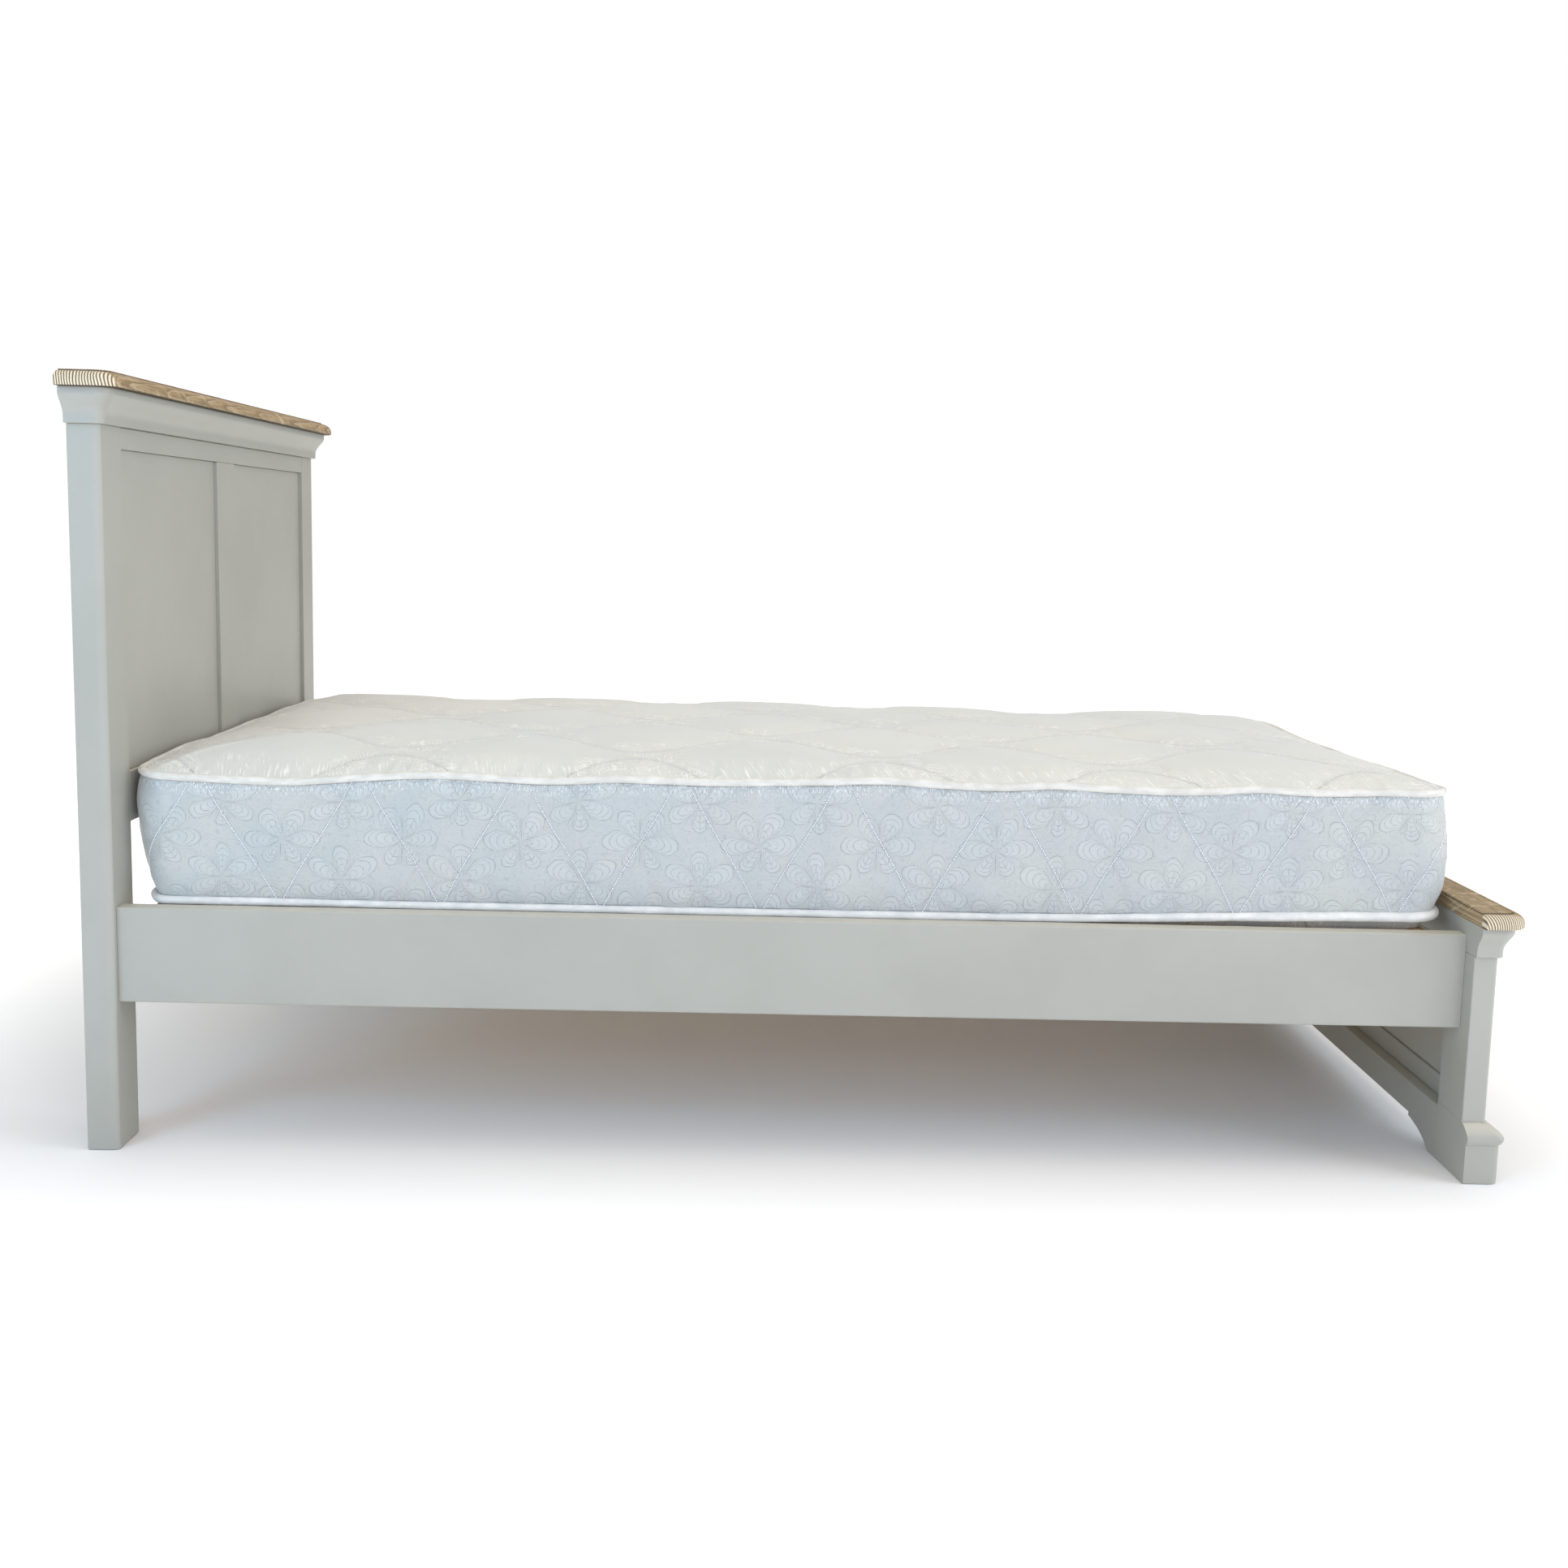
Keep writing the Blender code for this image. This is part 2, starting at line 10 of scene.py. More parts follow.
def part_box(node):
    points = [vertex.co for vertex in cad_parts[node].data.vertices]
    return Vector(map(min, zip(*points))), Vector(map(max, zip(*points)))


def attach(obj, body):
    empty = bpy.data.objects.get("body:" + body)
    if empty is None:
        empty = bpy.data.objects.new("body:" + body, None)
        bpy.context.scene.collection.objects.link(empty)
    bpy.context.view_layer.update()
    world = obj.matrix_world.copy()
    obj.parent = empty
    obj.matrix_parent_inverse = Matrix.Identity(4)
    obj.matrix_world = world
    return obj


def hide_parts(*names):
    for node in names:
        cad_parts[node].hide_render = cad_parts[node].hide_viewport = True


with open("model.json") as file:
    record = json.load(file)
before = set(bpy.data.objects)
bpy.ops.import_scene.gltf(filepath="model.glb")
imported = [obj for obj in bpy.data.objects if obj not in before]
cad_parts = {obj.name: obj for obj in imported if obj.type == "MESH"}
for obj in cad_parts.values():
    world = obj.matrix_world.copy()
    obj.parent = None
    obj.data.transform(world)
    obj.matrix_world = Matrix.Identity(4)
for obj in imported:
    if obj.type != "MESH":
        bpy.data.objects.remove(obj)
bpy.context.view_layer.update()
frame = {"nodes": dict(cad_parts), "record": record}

NODES = frame["nodes"]
COLL = bpy.context.scene.collection

# ------------------------------------------------------------------ places read from the frame
HEAD_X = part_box("head_post_left")[1].x             # front face of the headboard
FOOT_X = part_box("foot_post_left")[0].x             # inner face of the footboard
HEAD_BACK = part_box("head_post_left")[0].x
FOOT_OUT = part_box("foot_post_left")[1].x
HEAD_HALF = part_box("head_post_right")[1].y
FOOT_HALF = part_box("foot_post_right")[1].y
RAIL_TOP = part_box("side_rail_left")[1].z
SLAT_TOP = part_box("slat_07")[1].z
MAT_LO, MAT_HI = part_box("mattress_border_and_springs")
TOP_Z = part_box("mattress_top_panel")[1].z
TAPE_LOW = (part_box("mattress_tape_bottom")[0].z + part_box("mattress_tape_bottom")[1].z) / 2
TAPE_TOP = (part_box("mattress_tape_top")[0].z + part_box("mattress_tape_top")[1].z) / 2


# ------------------------------------------------------------------ small tools
def smoothstep(x, a, b):
    t = np.clip((x - a) / (b - a), 0, 1)
    return t * t * (3 - 2 * t)


def hash_noise(x, y, seed=0):
    """Smooth value noise between -1 and 1 at points x, y, one unit to a cell."""
    xi, yi = np.floor(x), np.floor(y)
    fx, fy = x - xi, y - yi
    fx, fy = fx * fx * (3 - 2 * fx), fy * fy * (3 - 2 * fy)

    def h(a, b):
        v = np.sin(a * 127.1 + b * 311.7 + seed * 74.7) * 43758.5453
        return (v - np.floor(v)) * 2 - 1

    return ((h(xi, yi) * (1 - fx) + h(xi + 1, yi) * fx) * (1 - fy)
            + (h(xi, yi + 1) * (1 - fx) + h(xi + 1, yi + 1) * fx) * fy)


def mesh_object(name, verts, faces, mats=(), uv=None, smooth=True):
    me = bpy.data.meshes.new(name)
    verts = np.asarray(verts, float)
    me.from_pydata(verts.tolist(), [], [tuple(int(i) for i in f) for f in faces])
    me.update()
    if uv is not None:
        layer = me.uv_layers.new(name="cloth")
        index = np.empty(len(me.loops), np.int32)
        me.loops.foreach_get("vertex_index", index)
        layer.uv.foreach_set("vector", np.asarray(uv, np.float32)[index].ravel())
    if smooth:
        me.shade_smooth()
    ob = bpy.data.objects.new(name, me)
    COLL.objects.link(ob)
    for m in mats:
        me.materials.append(m)
    return ob


def grid_faces(nx, ny, wrap=False):
    """Quads over a grid of nx columns by ny rows, numbered column by column."""
    cols = nx if wrap else nx - 1
    i = np.repeat(np.arange(cols), ny - 1)
    j = np.tile(np.arange(ny - 1), cols)
    k = (i + 1) % nx
    return np.stack([i * ny + j, k * ny + j, k * ny + j + 1, i * ny + j + 1], 1)


BORDER_TONE, BORDER_TONE_2 = (0.470, 0.500, 0.495), (0.503, 0.518, 0.490)
TOP_TONE, TOP_TONE_2 = (0.648, 0.657, 0.615), (0.690, 0.692, 0.636)


# ------------------------------------------------------------------ materials
class Finish:
    """A node material, with short calls for the nodes it uses."""

    def __init__(self, name):
        self.mat = bpy.data.materials.new(name)
        self.mat.use_nodes = True
        self.tree = self.mat.node_tree
        self.tree.nodes.clear()
        self.out = self.tree.nodes.new("ShaderNodeOutputMaterial")
        self.bsdf = self.tree.nodes.new("ShaderNodeBsdfPrincipled")
        self.tree.links.new(self.bsdf.outputs["BSDF"], self.out.inputs["Surface"])

    def node(self, kind, **props):
        n = self.tree.nodes.new(kind)
        for k, v in props.items():
            setattr(n, k, v)
        return n

    def put(self, socket, v):
        if hasattr(v, "is_output") or isinstance(v, bpy.types.NodeSocket):
            self.tree.links.new(v, socket)
        else:
            socket.default_value = v

    def m(self, op, a, b=None, c=None, clamp=False):
        n = self.node("ShaderNodeMath", operation=op, use_clamp=clamp)
        for i, v in enumerate((a, b, c)):
            if v is not None:
                self.put(n.inputs[i], v)
        return n.outputs[0]

    def add(self, a, b): return self.m("ADD", a, b)
    def sub(self, a, b): return self.m("SUBTRACT", a, b)
    def mul(self, a, b): return self.m("MULTIPLY", a, b)
    def div(self, a, b): return self.m("DIVIDE", a, b)

    def step(self, v, a, b):
        """Smooth 0 to 1 as v goes from a to b."""
        n = self.node("ShaderNodeMapRange", interpolation_type="SMOOTHSTEP")
        self.put(n.inputs["Value"], v)
        n.inputs["From Min"].default_value, n.inputs["From Max"].default_value = min(a, b), max(a, b)
        n.inputs["To Min"].default_value, n.inputs["To Max"].default_value = (0, 1) if a < b else (1, 0)
        return n.outputs["Result"]

    def coords(self, kind="Object"):
        return self.node("ShaderNodeTexCoord").outputs[kind]

    def uv(self, name="cloth"):
        return self.node("ShaderNodeUVMap", uv_map=name).outputs["UV"]

    def split(self, vec):
        n = self.node("ShaderNodeSeparateXYZ")
        self.put(n.inputs[0], vec)
        return n.outputs

    def join(self, x, y, z=0.0):
        n = self.node("ShaderNodeCombineXYZ")
        for i, v in enumerate((x, y, z)):
            self.put(n.inputs[i], v)
        return n.outputs[0]

    def scaled(self, vec, scale, location=(0, 0, 0), rotation=(0, 0, 0)):
        n = self.node("ShaderNodeMapping")
        self.put(n.inputs["Vector"], vec)
        n.inputs["Scale"].default_value = scale
        n.inputs["Location"].default_value = location
        n.inputs["Rotation"].default_value = rotation
        return n.outputs[0]

    def noise(self, vec, scale=1.0, detail=2.0, rough=0.5, distortion=0.0, what="Fac"):
        n = self.node("ShaderNodeTexNoise")
        self.put(n.inputs["Vector"], vec)
        n.inputs["Scale"].default_value = scale
        n.inputs["Detail"].default_value = detail
        n.inputs["Roughness"].default_value = rough
        n.inputs["Distortion"].default_value = distortion
        return n.outputs[0] if what == "Fac" else n.outputs["Color"]

    def vmath(self, op, a, b=None, scale=None):
        n = self.node("ShaderNodeVectorMath", operation=op)
        self.put(n.inputs[0], a)
        if b is not None:
            self.put(n.inputs[1], b)
        if scale is not None:
            self.put(n.inputs["Scale"], scale)
        return n.outputs["Value"] if op in ("LENGTH", "DISTANCE", "DOT_PRODUCT") else n.outputs[0]

    def mix(self, fac, a, b, mode="MIX"):
        n = self.node("ShaderNodeMix", data_type="RGBA", blend_type=mode)
        self.put(n.inputs[0], fac)
        for i, v in ((6, a), (7, b)):
            self.put(n.inputs[i], v if isinstance(v, bpy.types.NodeSocket) else (*v[:3], 1))
        return n.outputs[2]

    def ramp(self, fac, stops, interpolation="LINEAR"):
        n = self.node("ShaderNodeValToRGB")
        n.color_ramp.interpolation = interpolation
        while len(n.color_ramp.elements) < len(stops):
            n.color_ramp.elements.new(0.5)
        for e, (p, c) in zip(n.color_ramp.elements, stops):
            e.position = p
            e.color = (*c[:3], 1)
        self.put(n.inputs[0], fac)
        return n.outputs[0]

    def bump(self, height, distance, strength=1.0, normal=None):
        n = self.node("ShaderNodeBump")
        n.inputs["Strength"].default_value = strength
        n.inputs["Distance"].default_value = distance
        self.put(n.inputs["Height"], height)
        if normal is not None:
            self.put(n.inputs["Normal"], normal)
        return n.outputs[0]

    def set(self, **values):
        names = {"color": "Base Color", "rough": "Roughness", "metal": "Metallic", "normal": "Normal", "sheen": "Sheen Weight",
                 "sheen_rough": "Sheen Roughness", "sheen_tint": "Sheen Tint", "spec": "Specular IOR Level", "coat": "Coat Weight",
                 "coat_rough": "Coat Roughness"}
        for k, v in values.items():
            s = self.bsdf.inputs[names[k]]
            self.put(s, (*v[:3], 1) if isinstance(v, tuple) and len(v) in (3, 4) and k != "normal" else v)
        return self.mat


def lin(r, g, b):
    """Linear colour from 0-255 display values."""
    f = lambda c: (c / 255 / 12.92) if c / 255 <= 0.04045 else ((c / 255 + 0.055) / 1.055) ** 2.4
    return f(r), f(g), f(b)


def painted_wood():
    f = Finish("painted_wood_satin")
    p = f.coords()
    cloud = f.noise(p, 5.0, 3, 0.55)
    fine = f.noise(p, 70.0, 4, 0.6)
    base = f.mix(f.step(cloud, 0.35, 0.65), lin(166, 166, 157), lin(170, 170, 161))
    # the grain of the wood telegraphs faintly through the paint, in long soft streaks
    x, y, z = f.split(p)
    streak = f.noise(f.join(f.mul(x, 14.0), f.mul(y, 14.0), f.mul(z, 14.0)), 3.0, 2, 0.5)
    base = f.mix(f.mul(f.step(streak, 0.4, 0.75), 0.10), base, lin(176, 175, 165))
    # tiny pits and dust nibs
    cells = f.node("ShaderNodeTexVoronoi", feature="F1")
    f.put(cells.inputs["Vector"], p)
    cells.inputs["Scale"].default_value = 90.0
    nib = f.step(cells.outputs["Distance"], 0.06, 0.0)
    base = f.mix(f.mul(nib, 0.25), base, lin(150, 149, 140))
    # painted light: faces that point up are mixed towards a lighter cream, as if lit from above
    painted_top_light = f.step(f.split(f.node("ShaderNodeNewGeometry").outputs["Normal"])[2], 0.55, 0.95)
    base = f.mix(f.mul(painted_top_light, 0.60), base, lin(214, 208, 192))
    rough = f.add(0.34, f.mul(fine, 0.10))
    orange = f.noise(p, 420.0, 2, 0.5)
    brush = f.noise(f.scaled(p, (40, 40, 40)), 1.0, 5, 0.65)
    height = f.add(f.mul(orange, 0.35), f.mul(brush, 0.65))
    return f.set(color=base, rough=rough, normal=f.bump(height, 0.00035, 0.30), spec=0.45)


def limed_oak(name, pith, tilt, end_y, rings):
    """Oak whose grain runs along the bed's width: rings about a pith line give arcs on the ends and
    long figure on the faces, with white lime caught in the pores.  Ends begin at end_y."""
    f = Finish(name)
    p = f.coords()
    warp = f.noise(f.scaled(p, (9, 2.0, 9)), 1.0, 3, 0.55, what="Color")
    warp = f.vmath("SCALE", f.vmath("SUBTRACT", warp, (0.5, 0.5, 0.5)), scale=0.022)
    q = f.vmath("ADD", p, warp)
    x, y, z = f.split(q)
    dx = f.sub(f.add(x, f.mul(y, tilt[0])), pith[0])
    dz = f.sub(f.add(z, f.mul(y, tilt[1])), pith[1])
    r = f.m("SQRT", f.add(f.mul(dx, dx), f.mul(dz, dz)))
    ring = f.m("FRACT", f.mul(r, rings))
    late = f.step(ring, 0.52, 0.90)
    early = f.step(ring, 0.22, 0.0)
    # pores and fibres: long thin strokes along the grain, in the early wood
    px, py, pz = f.split(p)
    end = f.step(f.m("ABSOLUTE", py), end_y, end_y + 0.005)
    fibre = f.noise(f.join(f.mul(px, 620.0), f.mul(py, 11.0), f.mul(pz, 620.0)), 1.0, 3, 0.6)
    pore = f.step(f.noise(f.join(f.mul(px, 1150.0), f.mul(py, 42.0), f.mul(pz, 1150.0)), 1.0, 1, 0.5), 0.60, 0.72)
    vessel = f.step(f.noise(p, 1400.0, 1, 0.5), 0.56, 0.66)
    # medullary rays: short pale flecks lying askew to the grain
    fleck = f.step(f.noise(f.join(f.mul(px, 60.0), f.mul(f.add(py, f.mul(pz, 1.4)), 75.0), f.mul(pz, 26.0)), 1.0, 2, 0.5, 0.8), 0.55, 0.68)
    broad = f.noise(f.join(f.mul(px, 16.0), f.mul(py, 1.6), f.mul(pz, 16.0)), 1.0, 2, 0.5)
    streak = f.step(f.noise(f.join(f.mul(px, 210.0), f.mul(py, 3.2), f.mul(pz, 210.0)), 1.0, 2, 0.55), 0.56, 0.72)
    c = f.ramp(fibre, [(0.25, lin(128, 105, 74)), (0.5, lin(168, 145, 110)), (0.78, lin(204, 185, 152))])
    c = f.mix(f.mul(late, 0.55), c, lin(112, 90, 62))
    c = f.mix(f.mul(early, 0.40), c, lin(216, 203, 176))
    c = f.mix(f.mul(streak, 0.42), c, lin(98, 76, 50))
    c = f.mix(f.mul(pore, f.add(0.25, f.mul(early, 0.45))), c, lin(88, 68, 46))
    c = f.mix(f.mul(fleck, 0.50), c, lin(218, 204, 174))
    c = f.mix(f.mul(f.step(broad, 0.35, 0.70), 0.26), c, lin(150, 124, 88))
    # end grain: limed ground between dark ribs of late wood
    coarse = f.m("FRACT", f.mul(r, min(rings, 285.0)))
    rib = f.mix(f.mul(f.step(coarse, 0.40, 0.74), 0.90), lin(240, 228, 200), lin(84, 64, 40))
    rib = f.mix(f.mul(vessel, 0.35), rib, lin(120, 98, 66))
    c = f.mix(f.mul(end, 0.92), c, rib)
    # painted shade: the quirk and the underside of the overhang are coloured dark brown, for the shade that falls
    # there
    stain = f.split(f.uv("stain"))[0]
    c = f.mix(f.mul(stain, 0.85), c, lin(52, 40, 28))
    rough = f.add(0.50, f.mul(fibre, 0.16))
    height = f.add(f.add(f.mul(fibre, 0.30), f.mul(f.mul(late, 0.55), f.add(1.0, end))), f.mul(pore, -0.5))
    return f.set(color=c, rough=rough, normal=f.bump(height, 0.0009, 0.75), spec=0.35)


def pine():
    f = Finish("pine_planed")
    p = f.coords()
    info = f.node("ShaderNodeObjectInfo").outputs["Random"]
    px, py, pz = f.split(p)
    shift = f.mul(info, 3.0)
    warp = f.noise(f.join(f.mul(px, 6.0), f.add(f.mul(py, 1.3), shift), f.mul(pz, 6.0)), 1.0, 2, 0.5)
    r = f.add(f.add(f.mul(px, 1.0), f.mul(pz, 2.2)), f.mul(warp, 0.16))
    ring = f.m("FRACT", f.mul(r, 90.0))
    late = f.mul(f.step(ring, 0.55, 0.93), f.step(ring, 1.0, 0.96))
    fibre = f.noise(f.join(f.mul(px, 500.0), f.mul(py, 7.0), f.mul(pz, 500.0)), 1.0, 3, 0.6)
    knots = f.node("ShaderNodeTexVoronoi", feature="F1")
    f.put(knots.inputs["Vector"], f.join(f.mul(px, 6.6), f.add(f.mul(py, 4.2), shift), 0.0))
    knots.inputs["Scale"].default_value = 1.0
    knot = f.step(knots.outputs["Distance"], 0.075, 0.035)
    c = f.ramp(fibre, [(0.2, lin(206, 170, 118)), (0.8, lin(228, 198, 148))])
    c = f.mix(f.mul(late, 0.62), c, lin(178, 130, 76))
    c = f.mix(f.mul(knot, 0.85), c, lin(112, 70, 36))
    return f.set(color=c, rough=f.add(0.55, f.mul(fibre, 0.15)), normal=f.bump(f.add(fibre, f.mul(late, 0.8)), 0.0005, 0.4))


def zinc():
    f = Finish("zinc_plated_steel")
    p = f.coords()
    cells = f.node("ShaderNodeTexVoronoi", feature="F1")
    f.put(cells.inputs["Vector"], p)
    cells.inputs["Scale"].default_value = 160.0
    spangle = f.split(cells.outputs["Color"])[0]
    grime = f.noise(p, 45.0, 3, 0.6)
    c = f.mix(f.mul(spangle, 0.5), lin(176, 178, 180), lin(206, 207, 206))
    c = f.mix(f.mul(f.step(grime, 0.55, 0.75), 0.35), c, lin(150, 142, 120))
    return f.set(color=c, metal=0.92, rough=f.add(0.28, f.mul(grime, 0.22)), normal=f.bump(f.noise(p, 900.0, 2), 0.0001, 0.4))


def flower(f, px, pz, cell, shift, turn):
    """One staggered set of the border's woven flowers at (px, pz) in metres.
    Gives (how far inside a petal, how close to a drawn line)."""
    u = f.sub(f.m("FRACT", f.add(f.div(px, cell[0]), shift[0])), 0.5)
    v = f.sub(f.m("FRACT", f.add(f.div(pz, cell[1]), shift[1])), 0.5)
    x, y = f.mul(u, cell[0]), f.mul(v, cell[1])
    y = f.add(y, 0.008)
    r = f.m("SQRT", f.add(f.mul(x, x), f.mul(y, y)))
    a = f.m("ARCTAN2", x, f.mul(y, -1.0))                      # 0 points down the bed's side
    lobe = f.m("ABSOLUTE", f.m("COSINE", f.add(f.mul(a, 3.0), turn)))      # six broad petals
    lobe = f.m("POWER", lobe, 0.42)
    reach = f.add(0.0500, f.mul(f.m("COSINE", a), -0.0060))    # the upper petals are the longest
    reach = f.add(reach, f.mul(f.m("COSINE", f.mul(a, 2.0)), -0.0045))
    edge = f.mul(reach, lobe)
    w = 0.0011
    lines = None
    for share, weight in ((1.0, 1.0), (0.84, 0.8), (0.66, 0.9), (0.46, 0.7), (0.28, 0.8)):
        one = f.mul(f.step(f.m("ABSOLUTE", f.sub(r, f.mul(edge, share))), w, 0.0003), weight)
        lines = one if lines is None else f.m("MAXIMUM", lines, one)
    inside = f.step(f.sub(r, edge), 0.0, -0.004)
    # a fan of fine lines up and down from the middle
    upright = f.step(f.m("ABSOLUTE", f.m("COSINE", a)), 0.55, 0.80)
    vein = f.step(f.m("ABSOLUTE", f.m("SINE", f.mul(a, 11.0))), 0.34, 0.05)
    vein = f.mul(vein, f.m("MAXIMUM", f.step(r, 0.020, 0.012), f.mul(upright, f.step(r, 0.040, 0.028))))
    lines = f.m("MAXIMUM", lines, vein)
    return inside, lines


def border_cloth():
    f = Finish("border_damask_cloth")
    uv = f.uv()
    s, t, _ = f.split(uv)
    wob = f.noise(f.scaled(uv, (20, 20, 1)), 1.0, 2, 0.5, what="Color")
    wv = f.split(wob)
    s2 = f.add(s, f.mul(f.sub(wv[0], 0.5), 0.017))
    t2 = f.add(t, f.mul(f.sub(wv[1], 0.5), 0.017))
    cell = (0.1725, 0.118)
    ins_a, line_a = flower(f, s2, t2, cell, (0.5, 0.593), math.pi / 2)
    ins_b, line_b = flower(f, s2, t2, cell, (0.0, 0.093), 0.0)
    inside = f.m("MAXIMUM", ins_a, ins_b)
    line = f.m("MAXIMUM", line_a, line_b)
    lace = f.noise(f.join(f.mul(s2, 46.0), f.mul(t2, 46.0), 0.0), 1.0, 1, 0.5)
    lace = f.step(f.m("ABSOLUTE", f.sub(f.m("FRACT", f.mul(lace, 7.0)), 0.5)), 0.10, 0.02)
    line = f.m("MAXIMUM", line, f.mul(f.mul(lace, f.sub(1.0, inside)), 0.45))
    # the drawn lines are floats of thread: short ticks with gaps
    tick = f.add(f.mul(f.m("SINE", f.mul(s, 2 * math.pi / 0.0031)), 0.5), 0.5)
    tock = f.add(f.mul(f.m("SINE", f.mul(t, 2 * math.pi / 0.0027)), 0.5), 0.5)
    dots = f.step(f.add(f.mul(tick, 0.6), f.mul(tock, 0.6)), 0.42, 0.78)
    line = f.mul(line, f.add(0.18, f.mul(dots, 0.82)))
    # weave: fine ribs along the border, satin inside the petals
    rib = f.add(f.mul(f.m("SINE", f.mul(t, 2 * math.pi / 0.0011)), 0.5), 0.5)
    warp = f.add(f.mul(f.m("SINE", f.mul(s, 2 * math.pi / 0.0008)), 0.5), 0.5)
    slub = f.noise(f.join(f.mul(s, 16.0), f.mul(t, 420.0), 0.0), 1.0, 3, 0.6)
    blotch = f.noise(f.scaled(uv, (7, 11, 1)), 1.0, 3, 0.55)
    c = f.mix(f.step(blotch, 0.35, 0.68), BORDER_TONE, BORDER_TONE_2)
    c = f.mix(f.mul(inside, 0.09), c, lin(222, 227, 226))
    c = f.mix(f.mul(f.step(slub, 0.5, 0.85), 0.20), c, lin(216, 221, 226))
    c = f.mix(f.mul(line, 0.68), c, lin(134, 142, 150))
    # painted highlight: little bright flecks along the upper seam, as if the puckers there catch the light
    high = f.step(t, BORDER_H - 0.030, BORDER_H - 0.012)
    pucker_highlight = f.step(f.noise(f.join(f.mul(s, 520.0), f.mul(t, 150.0), 0.0), 1.0, 2, 0.6), 0.52, 0.66)
    c = f.mix(f.mul(f.mul(high, pucker_highlight), 0.58), c, lin(246, 251, 254))
    # the zigzag quilting: painted shade in a soft valley along it, with a needle hole at each end of every stitch
    phase = f.m("FRACT", f.add(f.div(f.add(s, 0.0013), PITCH), 0.5))
    tri = f.sub(1.0, f.m("ABSOLUTE", f.sub(f.mul(phase, 2.0), 1.0)))
    slant = f.add(tri, f.mul(f.m("SINE", f.mul(tri, 2 * math.pi)), 0.018))
    gap = f.mul(f.m("ABSOLUTE", f.sub(f.sub(t, f.mul(slant, ZIG_RISE)), ZIG_START)), 1 / math.sqrt(1 + (2 * ZIG_RISE / PITCH) ** 2))
    beat = f.m("ABSOLUTE", f.m("SINE", f.mul(s, math.pi / 0.00148)))
    hole = f.mul(f.step(gap, 0.0022, 0.0010), f.step(beat, 0.60, 0.20))
    valley_shade = f.step(gap, 0.010, 0.0)
    c = f.mix(f.mul(valley_shade, 0.05), c, lin(150, 158, 168))
    c = f.mix(f.mul(hole, 0.42), c, lin(104, 112, 122))
    # painted shade: a dark line just under the upper piping, and above the lower one, where the pipings shade the
    # cloth
    seam = f.m("MAXIMUM", f.step(t, BORDER_H - 0.0085, BORDER_H - 0.0060), f.step(t, 0.0085, 0.0062))
    c = f.mix(f.mul(seam, 0.55), c, lin(120, 124, 128))
    rough = f.sub(0.62, f.mul(inside, 0.16))
    height = f.add(f.add(f.mul(rib, 0.10), f.mul(warp, 0.06)), f.add(f.mul(line, -0.60), f.mul(inside, 0.08)))
    height = f.add(height, f.add(f.mul(slub, 0.22), f.mul(hole, -0.8)))
    return f.set(color=c, rough=rough, normal=f.bump(height, 0.0009, 0.75), sheen=0.35, sheen_rough=0.4, spec=0.35)


